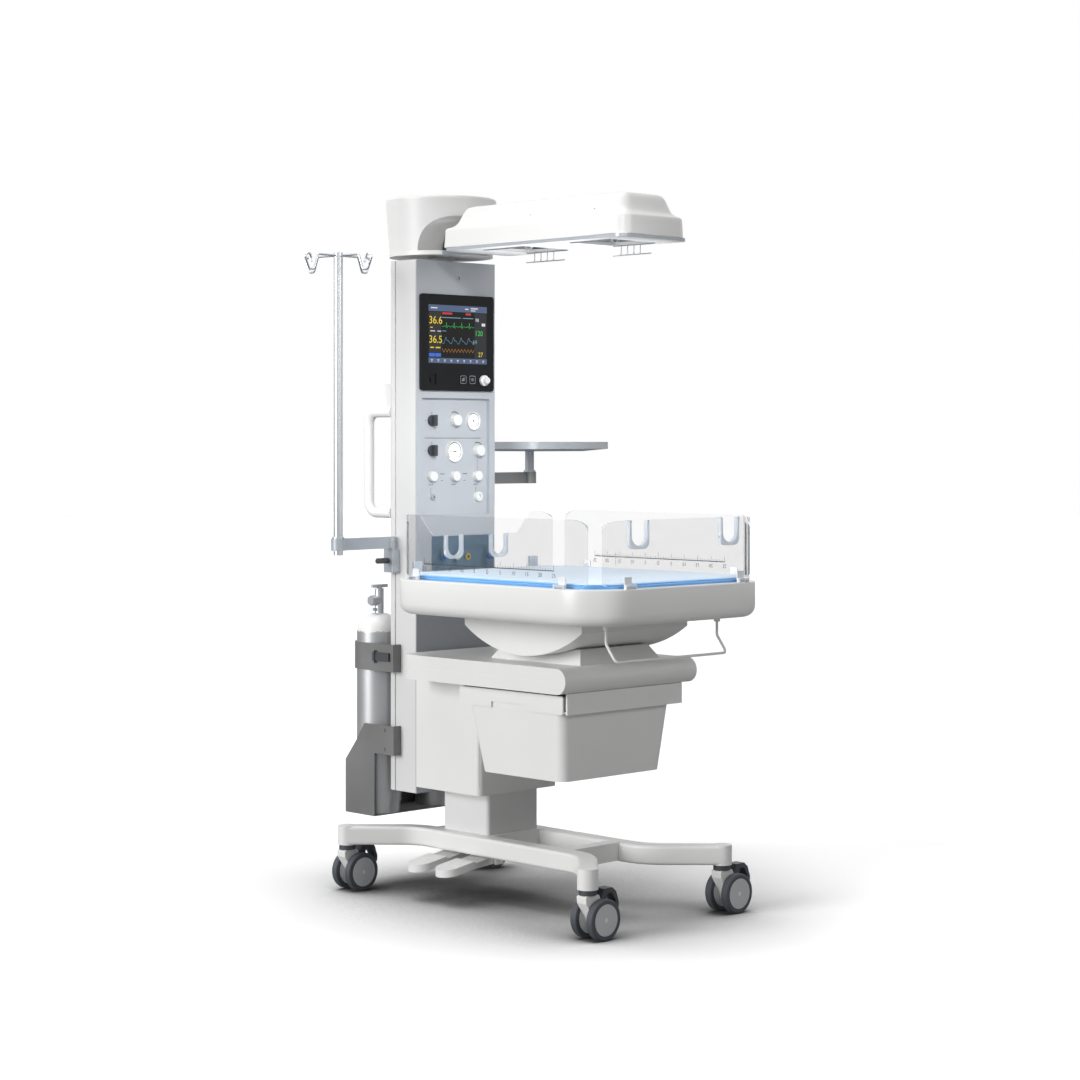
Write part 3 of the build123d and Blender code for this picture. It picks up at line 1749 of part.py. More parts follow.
def corner_points():
    """Where the flats end and where the bent ends stop, for the front left corner."""
    side = Vector(-panel_x, panel_front + corner_flat_y)
    front = Vector(-corner_flat_x, panel_front)
    along = (front - side).normalized()
    return side, side + along * bent_end, front, front - along * bent_end


def flip(point):
    """The same place at the rear of the bed."""
    return (point.X, panel_front + panel_rear - point.Y)


def side_path():
    side, side_end, front, front_end = corner_points()
    return [(side_end.X, side_end.Y), (side.X, side.Y), flip(side), flip(side_end)]


def front_path():
    side, side_end, front, front_end = corner_points()
    return [
        (front_end.X, front_end.Y), (front.X, front.Y), (-front.X, front.Y), (-front_end.X, front_end.Y),
    ]


def rounded_outline(u0, u1, z0, z1):
    face = Polygon((u0, z0), (u1, z0), (u1, z1), (u0, z1), align=None)
    face = fillet(face.vertices().group_by(Axis.Y)[-1], panel_round)
    return fillet(face.vertices().group_by(Axis.Y)[0], panel_low_round)


def slot_outline(u, half, bottom, top):
    face = Polygon((u - half, bottom), (u + half, bottom), (u + half, top), (u - half, top), align=None)
    return fillet(face.vertices().group_by(Axis.Y)[0], slot_round)


def make_side_panel():
    path = side_path()
    strip = bent_strip(path, panel_bottom, side_top)
    box = strip.bounding_box()
    outline = rounded_outline(box.min.Y, box.max.Y, panel_bottom, side_top)
    panel = strip & extrude(
        Plane.YZ.offset(box.min.X) * outline, box.max.X - box.min.X, dir=(1, 0, 0)
    )
    return [panel] + [place * hinge_bracket() for place in side_places()]


def across(face, y0, y1):
    plane = Plane(origin=(0, y1, 0), x_dir=(1, 0, 0), z_dir=(0, -1, 0))
    return extrude(plane * face, y1 - y0, dir=(0, -1, 0))


def make_front_panel_clear():
    strip = bent_strip(front_path(), panel_bottom, front_top)
    box = strip.bounding_box()
    outline = rounded_outline(box.min.X, box.max.X, panel_bottom, front_top)
    for u in (-slot_offset, slot_offset):
        outline -= slot_outline(u, slot_half, slot_bottom, front_top)
    panel = strip & across(outline, box.min.Y, box.max.Y)
    return [panel] + [place * hinge_bracket() for place in front_places()]


def make_rear_panel():
    path = [(x, panel_front + panel_rear - y) for x, y in front_path()]
    low = tray_rim + seat_gap
    strip = bent_strip(path[::-1], low, rear_top)
    box = strip.bounding_box()
    outline = rounded_outline(box.min.X, box.max.X, low, rear_top)
    step = Polygon(
        (-rear_low_half, rear_low_top), (rear_low_half, rear_low_top), (rear_high_half, rear_top),
        (-rear_high_half, rear_top), align=None,
    )
    outline -= fillet(step.vertices().group_by(Axis.Y)[0], rear_step_round)
    for u in (-rear_slot_offset, rear_slot_offset):
        outline -= slot_outline(u, rear_slot_half, rear_slot_bottom, rear_low_top + rear_step_round)
    return [strip & across(outline, box.min.Y, box.max.Y)]


def make_bail():
    return [
        bent_bar(
            (
                (-bail_x, bail_y, bail_head), (-bail_x, bail_y, bail_bend_height),
                (-bail_x, bail_low_y, bail_low_height), (bail_x, bail_low_y, bail_low_height),
                (bail_x, bail_y, bail_bend_height), (bail_x, bail_y, bail_head),
            ),
            bail_radius, bail_round,
        )
    ]


# The whole warmer, one list of solids per named piece
def all_nodes():
    head_shell, head_plate = make_head()
    arm = make_hood_arm()
    shell_cut = head_shell - block(
        -arm_half, arm_half, scoop_y, arm_rear, arm_bottom, arm_top
    )
    nodes = {
        "base_frame": make_base_frame(),
        "lift_post": make_lift_post(),
        "raise_pedal": make_pedal(0),
        "lower_pedal": make_pedal(1),
    }
    corner_names = ("front_left", "front_right", "rear_left", "rear_right")
    for corner, place in zip(corner_names, stems):
        nodes["caster_fork_" + corner] = make_fork(place)
        nodes["caster_wheels_" + corner] = make_wheels(place)
        nodes["caster_brake_" + corner] = make_brake(place)
    nodes["lift_housing"] = make_housing()
    nodes["column_body"] = make_column()
    nodes["column_front"] = make_front_panel() + make_probe_sockets()
    nodes["monitor_bezel"] = make_monitor() + make_screen()
    nodes["encoder_knob"] = make_encoder()
    nodes["mute_button"] = make_button(button_places[0])
    nodes["menu_button"] = make_button(button_places[1])
    nodes["gas_panel"] = make_gas_panel()
    nodes["upper_selector"] = make_selector(0)
    nodes["lower_selector"] = make_selector(1)
    for name, (x, z) in zip(("upper_flow_knob", "lower_flow_knob"), flow_knobs):
        nodes[name] = [round_knob(x, z, gas_face, flow_radius, flow_height, knob_flutes)]
    for name, x in zip(("left_row_knob", "middle_row_knob", "right_row_knob"), row_knobs):
        nodes[name] = [round_knob(x, row_height, gas_face, row_radius, row_depth, knob_flutes)]
    nodes["pressure_gauges"] = make_gauges()
    nodes["push_handles"] = make_handles() + make_terminal_box()
    nodes["table_slab"] = make_slab() + make_drawer_rails()
    nodes["storage_drawer"] = make_drawer()
    nodes["bed_pedestal"] = make_pedestal()
    nodes["bed_cradle"] = make_cradle()
    nodes["bed_tray"] = make_tray()
    nodes["mattress"] = make_mattress()
    side_panel = make_side_panel()
    nodes["left_panel"] = side_panel
    nodes["right_panel"] = [mirrored(piece) for piece in side_panel]
    nodes["front_panel"] = make_front_panel_clear()
    nodes["rear_panel"] = make_rear_panel()
    nodes["release_bail"] = make_bail()
    nodes["accessory_brackets"] = [
        mirrored(make_bracket(left_bracket_bottom)),
        make_bracket(right_bracket_bottom),
    ]
    nodes["pole_arm"] = [
        mirrored(make_swing_arm(arm_low_left, pole_x, pole_radius + running_gap, clamp_radius))
    ]
    nodes["drip_pole"] = make_pole()
    nodes["pole_knob"] = [mirrored(make_thumb_knob(left_bracket_bottom))]
    nodes["shelf_arm"] = [
        make_swing_arm(arm_low_right, shelf_post_x, shelf_post_radius + running_gap, clamp_radius)
    ]
    nodes["monitor_shelf"] = make_shelf()
    nodes["shelf_knob"] = [make_thumb_knob(right_bracket_bottom)]
    nodes["gas_cylinders"] = make_tanks() + make_valves()
    nodes["left_valve_handle"] = make_tee(-tank_x)
    nodes["right_valve_handle"] = make_tee(tank_x)
    nodes["cylinder_brackets"] = make_hoop() + make_tank_cradle()
    nodes["latch_lever"] = make_latch()
    nodes["head_shell"] = [shell_cut, head_plate]
    nodes["hood_shell"] = make_hood() + [arm]
    nodes["hood_underframe"] = make_underframe() + make_reflectors()
    nodes["heater_guards"] = make_guards()
    return nodes


warmer = all_nodes()
boxes = [piece.bounding_box() for pieces in warmer.values() for piece in pieces]
low_x = min(box.min.X for box in boxes)
high_x = max(box.max.X for box in boxes)
low_y = min(box.min.Y for box in boxes)
high_y = max(box.max.Y for box in boxes)
low_z = min(box.min.Z for box in boxes)
shift = Vector(-(low_x + high_x) / 2, -(low_y + high_y) / 2, -low_z)

for name, pieces in warmer.items():
    placed = [Pos(shift.X, shift.Y, shift.Z) * piece for piece in pieces]
    export_step(Compound(children=placed), "parts/" + name + ".step")
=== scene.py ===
# %% [markdown]
# # Infant radiant warmer
# The imported CAD model is loaded as a fixed frame. This script gives every part its finish, builds the
# soft mattress, and draws the rulers, the monitor's display and the marks on the panels.

# %% [markdown]

# %% Load the frame
import math

import bmesh
import bpy
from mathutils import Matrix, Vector


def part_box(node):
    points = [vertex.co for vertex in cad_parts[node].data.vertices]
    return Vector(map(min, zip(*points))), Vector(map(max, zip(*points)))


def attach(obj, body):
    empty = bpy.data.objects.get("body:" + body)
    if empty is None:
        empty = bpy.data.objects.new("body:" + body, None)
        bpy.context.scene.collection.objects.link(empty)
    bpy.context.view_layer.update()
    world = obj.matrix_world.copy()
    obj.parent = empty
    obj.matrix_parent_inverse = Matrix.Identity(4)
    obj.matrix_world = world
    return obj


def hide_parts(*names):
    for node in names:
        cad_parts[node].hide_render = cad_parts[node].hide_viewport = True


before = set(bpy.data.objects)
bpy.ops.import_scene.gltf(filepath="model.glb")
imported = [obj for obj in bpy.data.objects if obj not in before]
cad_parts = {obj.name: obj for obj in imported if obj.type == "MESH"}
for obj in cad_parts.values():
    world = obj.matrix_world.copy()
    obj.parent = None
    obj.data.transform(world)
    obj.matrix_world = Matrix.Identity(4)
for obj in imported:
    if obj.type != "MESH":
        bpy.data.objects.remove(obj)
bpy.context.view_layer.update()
scene = bpy.context.scene

# %% [markdown]
# Places are written in the measuring frame of the CAD source: millimetres, X across from the middle,
# Y back from the front caster stems, Z up from the floor. `at` turns one into the frame's metres.

# %% Places
MM = 0.001
TRAY_LIP = 0.120
column_low, column_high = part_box("column_body")
tray_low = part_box("bed_tray")[0]
ORIGIN = Vector(((column_low[0] + column_high[0]) / 2, tray_low[1] + TRAY_LIP, 0))


def at(x, y, z):
    """A point of the measuring frame, in metres."""
    return ORIGIN + Vector((x, y, z)) * MM


def measured(point):
    """A point in metres, as millimetres of the measuring frame."""
    return (Vector(point) - ORIGIN) / MM


def linked(name, data):
    """A new object of a mesh, curve, light or camera, in the scene."""
    made = bpy.data.objects.new(name, data)
    scene.collection.objects.link(made)
    return made


print("origin at", [round(value, 4) for value in ORIGIN])

# %% [markdown]
# The camera stands where the photograph was taken from: level, with the picture shifted down.

# %% Camera
CAMERA_PLACE = (-4642.6, -4323.0, 1287.0)
CAMERA_TURN = -44.25
CAMERA_LENS = 79.77
CAMERA_SHIFT = -0.0921

camera_data = bpy.data.cameras.new("camera")
camera_data.sensor_width = 36
camera_data.lens = CAMERA_LENS
camera_data.shift_y = CAMERA_SHIFT
camera_data.clip_end = 100
camera = linked("camera", camera_data)
camera.location = at(*CAMERA_PLACE)
camera.rotation_euler = (math.radians(90), 0, math.radians(CAMERA_TURN))
scene.camera = camera
scene.view_settings.view_transform = "Standard"
print("camera at", [round(value, 3) for value in camera.location])

# %% [markdown]
# ## Finishes
# A small set of functions builds every material. Colours are sRGB hex strings and go through `colour`.


# %% Node helpers
def colour(text, alpha=1.0):
    """An sRGB hex colour as linear red, green, blue and alpha."""
    values = [int(text[i:i + 2], 16) / 255 for i in (1, 3, 5)]
    linear = [v / 12.92 if v <= 0.04045 else ((v + 0.055) / 1.055) ** 2.4 for v in values]
    return (*linear, alpha)


def node(material, kind, inputs=(), **settings):
    """Adds a node: inputs are (socket, value or output) pairs, settings are its properties."""
    made = material.node_tree.nodes.new(kind)
    for name, value in settings.items():
        setattr(made, name, value)
    for socket, value in inputs:
        if isinstance(value, bpy.types.NodeSocket):
            material.node_tree.links.new(value, made.inputs[socket])
        else:
            made.inputs[socket].default_value = value
    return made


def blank(name):
    """A new material with only its output node."""
    material = bpy.data.materials.new(name)
    material.use_nodes = True
    material.node_tree.nodes.clear()
    return material, node(material, "ShaderNodeOutputMaterial")


def noise(material, scale, detail=3.0, stretch=(1, 1, 1)):
    """Noise in the object's own coordinates, whose scale is in features per metre."""
    place = node(material, "ShaderNodeTexCoord").outputs["Object"]
    spread = node(material, "ShaderNodeMapping", [("Vector", place), ("Scale", stretch)])
    return node(
        material, "ShaderNodeTexNoise",
        [("Vector", spread.outputs[0]), ("Scale", scale), ("Detail", detail)],
    ).outputs["Fac"]


NOISE_SPAN = (0.3, 0.7)


def between(material, value, low, high):
    """Turns a noise value within its usual span into one from low to high."""
    return node(
        material, "ShaderNodeMapRange",
        [
            ("Value", value), ("From Min", NOISE_SPAN[0]), ("From Max", NOISE_SPAN[1]), ("To Min", low),
            ("To Max", high),
        ],
    ).outputs["Result"]


def shade(material, value, dark, light):
    """A colour from dark to light as a noise value goes through its usual span."""
    ramp = node(material, "ShaderNodeValToRGB", [("Fac", value)])
    for stop, position, text in zip(ramp.color_ramp.elements, NOISE_SPAN, (dark, light)):
        stop.position = position
        stop.color = colour(text)
    return ramp.outputs["Color"]


GRAIN_HEIGHT = 0.0004


def finish(name, dark, light, rough, grain, depth, cloud=6.0, stretch=(1, 1, 1), **sockets):
    """A surface with a clouded colour, uneven gloss and a fine grain in relief."""
    material, output = blank(name)
    patches = noise(material, cloud, 4.0, stretch)
    fine = noise(material, grain, 2.0, stretch)
    relief = node(
        material, "ShaderNodeBump", [("Strength", depth), ("Distance", GRAIN_HEIGHT), ("Height", fine)],
    )
    inputs = [
        ("Base Color", shade(material, patches, dark, light)),
        ("Roughness", between(material, patches, *rough)),
        ("Normal", relief.outputs["Normal"]),
    ]
    inputs += [(socket.replace("_", " "), value) for socket, value in sockets.items()]
    shader = node(material, "ShaderNodeBsdfPrincipled", inputs)
    material.node_tree.links.new(shader.outputs[0], output.inputs["Surface"])
    material.diffuse_color = colour(light)
    return material


def clear_finish(name, tint):
    """Clear acrylic: it bends light and lets the shadow through."""
    material, output = blank(name)
    marks = noise(material, 40.0)
    glass = node(
        material, "ShaderNodeBsdfPrincipled",
        [
            ("Base Color", colour(tint)), ("Roughness", between(material, marks, 0.01, 0.05)),
            ("IOR", 1.1), ("Transmission Weight", 1.0),
        ],
    )
    through = node(material, "ShaderNodeBsdfTransparent", [("Color", colour(tint))])
    shadow = node(material, "ShaderNodeLightPath").outputs["Is Shadow Ray"]
    mixed = node(
        material, "ShaderNodeMixShader", [(0, shadow), (1, glass.outputs[0]), (2, through.outputs[0])],
    )
    material.node_tree.links.new(mixed.outputs[0], output.inputs["Surface"])
    material.diffuse_color = colour(tint, 0.3)
    return material


def lit_finish(name, text, strength=1.0):
    """A patch of a lit display, with the fine rows of its dots."""
    material, output = blank(name)
    rows = noise(material, 900.0, 1.0, (1, 1, 3))
    glow = node(
        material, "ShaderNodeBsdfPrincipled",
        [
            ("Base Color", colour("#101010")), ("Roughness", 0.3), ("Emission Color", colour(text)),
            ("Emission Strength", between(material, rows, strength * 0.85, strength)),
        ],
    )
    material.node_tree.links.new(glow.outputs[0], output.inputs["Surface"])
    material.diffuse_color = colour(text)
    return material


# %% [markdown]
# The finishes, named for what the real surfaces are.

# %% Finishes
# Powder-coated steel and moulded plastics in the same white, the column's with painted shade
white_paint = finish("white_paint", "#e7e7e6", "#ebebea", (0.34, 0.39), 900, 0.25, cloud=2.5)
white_plastic = finish("white_plastic", "#e9e9e8", "#ededec", (0.29, 0.33), 1600, 0.12, cloud=2.5)
# Painted shade: the column's paint is the same white made a little darker for the column's sides
column_paint = finish("column_paint", "#dcdcdc", "#e1e1e1", (0.33, 0.38), 900, 0.2, cloud=2.5)
# Satin silver-blue paint of the column's front and the gas panel
satin_front = finish(
    "satin_front", "#bbbfc5", "#c3c7cc", (0.32, 0.42), 1500, 0.15, cloud=2.0, Metallic=0.12,
)
satin_label = finish("satin_label", "#607789", "#6b8295", (0.38, 0.48), 1500, 0.1)
# Dark and grey mouldings
black_plastic = finish(
    "black_plastic", "#0e0f11", "#141517", (0.34, 0.44), 1400, 0.1, Specular_IOR_Level=0.2,
)
dark_plastic = finish("dark_plastic", "#393c41", "#45494e", (0.38, 0.50), 1400, 0.25)
pale_plastic = finish("pale_plastic", "#c3c6ca", "#cfd2d5", (0.32, 0.42), 1400, 0.2)
shelf_plastic = finish("shelf_plastic", "#b8bdc1", "#c2c7cb", (0.32, 0.42), 1400, 0.2)
tyre_rubber = finish("tyre_rubber", "#3f4247", "#4c5056", (0.55, 0.70), 700, 0.5)
# Metals
steel = finish(
    "stainless_steel", "#c0c3c8", "#cfd2d6", (0.22, 0.34), 900, 0.2, stretch=(1, 1, 0.05), Metallic=1.0,
)
arm_metal = finish("arm_metal", "#a3a9b0", "#afb5bb", (0.30, 0.42), 1200, 0.2, Metallic=0.35)
cylinder_metal = finish(
    "cylinder_metal", "#aeafb1", "#bcbdbf", (0.30, 0.42), 500, 0.3, stretch=(1, 1, 0.2), Metallic=0.7,
)
bracket_metal = finish("bracket_metal", "#757576", "#808081", (0.35, 0.48), 800, 0.3, Metallic=0.35)
reflector_metal = finish("reflector_metal", "#d7d9dc", "#e4e6e8", (0.10, 0.20), 300, 0.3, Metallic=1.0)
# Glass and acrylic
acrylic = clear_finish("clear_acrylic", "#eeeeee")
acrylic_edge = finish(
    "acrylic_edge", "#dfe4e8", "#eceff2", (0.25, 0.35), 500, 0.1, Transmission_Weight=0.55, IOR=1.2,
)
# Painted shade: a dark grey for two upright ends of the panels, where clear acrylic seen edge-on looks dark
edge_painted_shade = finish("acrylic_edge_painted_shade", "#6f7376", "#7d8184", (0.2, 0.3), 500, 0.1)
grommet_plastic = finish(
    "grommet_plastic", "#e3e9f0", "#eef2f7", (0.3, 0.4), 700, 0.1, Transmission_Weight=0.5, IOR=1.2,
)
hinge_plastic = finish("hinge_plastic", "#e6e9eb", "#eef0f2", (0.3, 0.4), 1400, 0.1)
# Seen from inside its own panel, a hinge plate lets the view pass
hinge_back = node(hinge_plastic, "ShaderNodeNewGeometry").outputs["Backfacing"]
hinge_front = node(hinge_plastic, "ShaderNodeMath", [(0, 1.0), (1, hinge_back)], operation="SUBTRACT")
hinge_shader = next(
    part for part in hinge_plastic.node_tree.nodes if part.bl_idname == "ShaderNodeBsdfPrincipled"
)
hinge_plastic.node_tree.links.new(hinge_front.outputs[0], hinge_shader.inputs["Alpha"])
gauge_glass = clear_finish("gauge_glass", "#ffffff")
screen_glass = finish(
    "screen_glass", "#07080a", "#0b0c0f", (0.12, 0.18), 600, 0.02, Specular_IOR_Level=0.25,
)
# Caps of the probe sockets, from left to right
probe_colours = [
    finish(f"probe_cap_{name}", dark, light, (0.3, 0.4), 1400, 0.15)
    for name, dark, light in (
        ("blue", "#1f66a8", "#2b74b6"), ("pale_yellow", "#c9c995", "#d6d6a4"),
        ("yellow", "#c4a32a", "#d4b33a"), ("purple", "#4a52ab", "#5a62bb"),
    )
]
# Printed marks and the lit display
ink = finish("printed_ink", "#33373c", "#3c4046", (0.45, 0.6), 1500, 0.1)
print(len(bpy.data.materials), "materials")

# %% [markdown]
# ## Finishes on the CAD parts
# `dress` gives a node its materials. The first one covers it all, and each rule after it names a material
# and a test. A face takes the material when all its corners pass, in the measuring frame.


# %% Dress the nodes
def dress(name, base, *rules):
    """Gives a CAD node's faces their materials."""
    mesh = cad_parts[name].data
    mesh.materials.clear()
    for material in (base, *(rule[0] for rule in rules)):
        mesh.materials.append(material)
    places = [measured(vertex.co) for vertex in mesh.vertices] if rules else []
    for face in mesh.polygons:
        face.material_index = 0
        for index, (_, test) in enumerate(rules):
            if all(test(places[corner]) for corner in face.vertices):
                face.material_index = index + 1


def near(x, z, radius):
    """A test for places around a level axis that runs back through x and z."""
    return lambda p: math.hypot(p.x - x, p.z - z) < radius


DISC_RADIUS = 41.5
AXLE_HEIGHT = 54.5
for corner in ("front_left", "front_right", "rear_left", "rear_right"):
    wheel_low, wheel_high = (measured(value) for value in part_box(f"caster_wheels_{corner}"))
    axle = (wheel_low + wheel_high) / 2
    dress(
        f"caster_wheels_{corner}", tyre_rubber,
        (pale_plastic, lambda p: math.hypot(p.x - axle.x, p.z - AXLE_HEIGHT) < DISC_RADIUS),
    )
    dress(f"caster_fork_{corner}", white_plastic)
    dress(f"caster_brake_{corner}", dark_plastic)

COLLAR_TOP = 133.1
dress("base_frame", white_paint, (dark_plastic, lambda p: p.z < COLLAR_TOP))
dress("lift_post", column_paint)
for name in ("raise_pedal", "lower_pedal"):
    dress(name, white_plastic)
dress("lift_housing", white_paint)
COLUMN_TOP = 1802.5
dress("column_body", column_paint, (dark_plastic, lambda p: p.z > COLUMN_TOP))
LABEL_TOP = 1013.5
PROBE_HEIGHT = 952.0
PROBE_PLACES = (-55.0, -3.0, 38.0, 127.0)
PROBE_FRONT = 784.0
PROBE_RADIUS = 11.0
LABEL_FRONT = 786.0
dress(
    "column_front", satin_front,
    (satin_label, lambda p: p.z < LABEL_TOP and p.y < LABEL_FRONT),
    *(
        (cap, lambda p, x=x: p.y < PROBE_FRONT and near(x, PROBE_HEIGHT, PROBE_RADIUS)(p))
        for cap, x in zip(probe_colours, PROBE_PLACES)
    ),
)
SCREEN = (-113.5, 113.5, 1508.6, 1675.5)
dress(
    "monitor_bezel", black_plastic,
    (screen_glass, lambda p: SCREEN[0] < p.x < SCREEN[1] and SCREEN[2] < p.z < SCREEN[3]),
)
for name in ("mute_button", "menu_button"):
    dress(name, black_plastic)
STEEL_OUTLET = (-82, 1125, 9)
WHITE_OUTLET = (95.5, 1124.5, 15)
dress("gas_panel", satin_front, (steel, near(*STEEL_OUTLET)), (white_plastic, near(*WHITE_OUTLET)))
for name in ("upper_selector", "lower_selector"):
    dress(name, dark_plastic)
for name in (
    "encoder_knob", "upper_flow_knob", "lower_flow_knob", "left_row_knob", "middle_row_knob",
    "right_row_knob",
):
    dress(name, white_plastic)
GAUGES = ((75.0, 1344.0, 26.5), (0.4, 1255.5, 30.5))
GLASS_PLACE = (794.2, 795.9)
NEEDLE_PLACE = (796.1, 796.5)
NEEDLE_SHORTER = 4


def gauge_rules(material, place, margin):
    """A rule for each gauge: faces between two depths and within the gauge's radius less a margin."""
    return [
        (material, lambda p, gauge=(x, z, radius - margin): place[0] < p.y < place[1] and near(*gauge)(p))
        for x, z, radius in GAUGES
    ]


dress(
    "pressure_gauges", white_plastic,
    *gauge_rules(gauge_glass, GLASS_PLACE, 0), *gauge_rules(dark_plastic, NEEDLE_PLACE, NEEDLE_SHORTER),
)
TERMINAL_UNDER = 1387
TERMINAL_FRONT = 914
TERMINAL_HALF = 70
dress(
    "push_handles", white_plastic,
    (dark_plastic, lambda p: p.z < TERMINAL_UNDER and p.y > TERMINAL_FRONT and abs(p.x) < TERMINAL_HALF),
)
dress("table_slab", white_paint)
dress("storage_drawer", white_plastic)
dress("bed_pedestal", white_paint)
dress("bed_cradle", white_plastic)
dress("bed_tray", white_plastic)
dress("release_bail", white_paint)
dress("accessory_brackets", arm_metal)
dress("pole_arm", arm_metal)
dress("drip_pole", steel)
dress("shelf_arm", bracket_metal)
SHELF_UNDER = 1263.0
dress("monitor_shelf", shelf_plastic, (arm_metal, lambda p: p.z < SHELF_UNDER))
for name in ("pole_knob", "shelf_knob", "latch_lever"):
    dress(name, dark_plastic)
CYLINDER_DOME = 731.5
CYLINDER_FOOT = 239.5
VALVE_BOTTOM = 783.0
dress(
    "gas_cylinders", cylinder_metal,
    (white_paint, lambda p: p.z < CYLINDER_FOOT or CYLINDER_DOME < p.z < VALVE_BOTTOM),
    (steel, lambda p: p.z > VALVE_BOTTOM),
)
for name in ("left_valve_handle", "right_valve_handle"):
    dress(name, pale_plastic)
dress("cylinder_brackets", bracket_metal)
HEAD_PLATE = 1829.0
HEAD_FRONT = 745.0
dress("head_shell", white_plastic, (arm_metal, lambda p: p.z < HEAD_PLATE and p.y < HEAD_FRONT))
RIM_TOP = 1829.5
RIM_HALF = 105.0
RIM_FRONT = 30.0
dress("hood_underframe", white_plastic, (reflector_metal, lambda p: p.z > RIM_TOP))
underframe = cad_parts["hood_underframe"].data
underframe.materials.append(arm_metal)
for face in underframe.polygons:
    centre = measured(face.center)
    outer = abs(centre.x) > RIM_HALF or centre.y < RIM_FRONT
    if abs(face.normal.z) < 0.5 and outer and centre.z < RIM_TOP:
        face.material_index = 2
dress("heater_guards", steel)
# The panels' middle planes, their cut corners and their hinges
PANEL_X = 328.0
PANEL_FRONT = -98.0
PANEL_REAR = 703.4
PANEL_HALF_WALL = 3.0
CUT_X = 70.0
CUT_Y = 78.0
MIDDLE_Y = (PANEL_FRONT + PANEL_REAR) / 2
HINGE_INSET = 40.0
HINGE_TOP = 948.0
HINGE_REACH = 15.0
HINGE_SIDE_PLACES = (PANEL_FRONT + CUT_Y + HINGE_INSET, PANEL_REAR - CUT_Y - HINGE_INSET)
HINGE_FRONT_X = PANEL_X - CUT_X - HINGE_INSET
HINGES = [(x, y) for x in (-PANEL_X, PANEL_X) for y in HINGE_SIDE_PLACES]
HINGES += [(x, PANEL_FRONT) for x in (-HINGE_FRONT_X, HINGE_FRONT_X)]
BENT = Vector((0.744, 0.668, 0))
FACING = 0.985
UPRIGHT = 0.2
ON_PLANE = 0.3
PAINTED_SHADE_ENDS_X = 250.0
CLEAR, EDGE, PAINTED_SHADE_EDGE, HINGE = range(4)


def on_hinge(corner):
    """Whether a corner of a panel's mesh lies on one of its hinges."""
    return corner.z < HINGE_TOP and any(
        abs(corner.x - x) < HINGE_REACH and abs(corner.y - y) < HINGE_REACH for x, y in HINGES
    )


def on_panel(distance):
    """Whether a distance from a panel's middle plane is that of one of its two faces."""
    return abs(abs(distance) - PANEL_HALF_WALL) < ON_PLANE


def edge_kind(panel_mesh, face):
    """A panel's faces are clear, its cut edges are frosted, and two of its upright ends are painted a dark
    grey, painted shade for edge-on acrylic.
    """
    if all(on_hinge(measured(panel_mesh.vertices[corner].co)) for corner in face.vertices):
        return HINGE
    centre = measured(face.center)
    side = Vector((math.copysign(1, centre.x), math.copysign(1, centre.y - MIDDLE_Y), 0))
    if abs(face.normal.dot(BENT * side)) > FACING:
        return CLEAR
    if abs(face.normal.x) > FACING and on_panel(abs(centre.x) - PANEL_X):
        return CLEAR
    if abs(face.normal.y) > FACING and any(on_panel(centre.y - plane) for plane in (PANEL_FRONT, PANEL_REAR)):
        return CLEAR
    # Painted shade: the upright ends at these corners take the dark grey
    dark = abs(face.normal.z) < UPRIGHT and side.x * side.y < 0 and abs(centre.x) > PAINTED_SHADE_ENDS_X
    return PAINTED_SHADE_EDGE if dark else EDGE


for name in ("left_panel", "right_panel", "front_panel", "rear_panel"):
    dress(name, acrylic)
    panel_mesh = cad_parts[name].data
    panel_mesh.materials.append(acrylic_edge)
    panel_mesh.materials.append(edge_painted_shade)
    panel_mesh.materials.append(hinge_plastic)
    for face in panel_mesh.polygons:
        face.material_index = edge_kind(panel_mesh, face)
dress("hood_shell", white_plastic)
undressed = [name for name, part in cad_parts.items() if not part.data.materials]
print("without a finish:", undressed)

# %% [markdown]
# ## Light
# A plain white room: soft light from the left and from above, a weaker one in front, one on the column's
# face and one below the hood, and a floor that keeps the object's shadow, adds a painted shadow where the
# object is near, and fades to white.


# %% Lights, floor and background
def hang(light, place, towards):
    """Puts a light at a place, shining one way."""
    stand = linked(light.name, light)
    stand.location = place
    stand.rotation_euler = towards.to_track_quat("-Z", "Y").to_euler()


def lamp(name, place, target, size, power):
    """A square soft light that faces a target."""
    light = bpy.data.lights.new(name, "AREA")
    light.shape = "SQUARE"
    light.size = size
    light.energy = power
    hang(light, at(*place), at(*target) - at(*place))


def sun(name, towards, strength, spread):
    """A distant light whose shadows are soft by its spread in degrees."""
    light = bpy.data.lights.new(name, "SUN")
    light.energy = strength
    light.angle = math.radians(spread)
    hang(light, at(*SUN_PLACE), Vector(towards))


def beam(name, place, target, cone, size, power):
    """A round light with a soft edge, whose cone is in degrees."""
    light = bpy.data.lights.new(name, "SPOT")
    light.spot_size = math.radians(cone)
    light.spot_blend = 0.8
    light.shadow_soft_size = size
    light.energy = power
    hang(light, at(*place), at(*target) - at(*place))


SUN_PLACE = (0, 0, 3500)
sun("left", (0.95, -0.20, -0.25), 2.4, 35)
sun("above", (0.05, -0.12, -1.0), 1.4, 50)
lamp("front", (600, -4200, 3000), (0, 300, 1300), 1.8, 46)
beam("column", (-1800, -2200, 2600), (0, 789, 1270), 15.0, 0.3, 470)
beam("under_hood", (0, 350, 1000), (0, 350, 1830), 54, 0.0, 40)

FLOOR_HALF = 30000
FLOOR_GAIN = 1.45
ROOM_LIGHT = 0.15
SEEN_WHITE = 1.0
floor_mesh = bpy.data.meshes.new("floor")
floor_mesh.from_pydata(
    [at(x * FLOOR_HALF, y * FLOOR_HALF, 0) for x, y in ((-1, -1), (1, -1), (1, 1), (-1, 1))], [],
    [(0, 1, 2, 3)],
)
floor = linked("floor", floor_mesh)

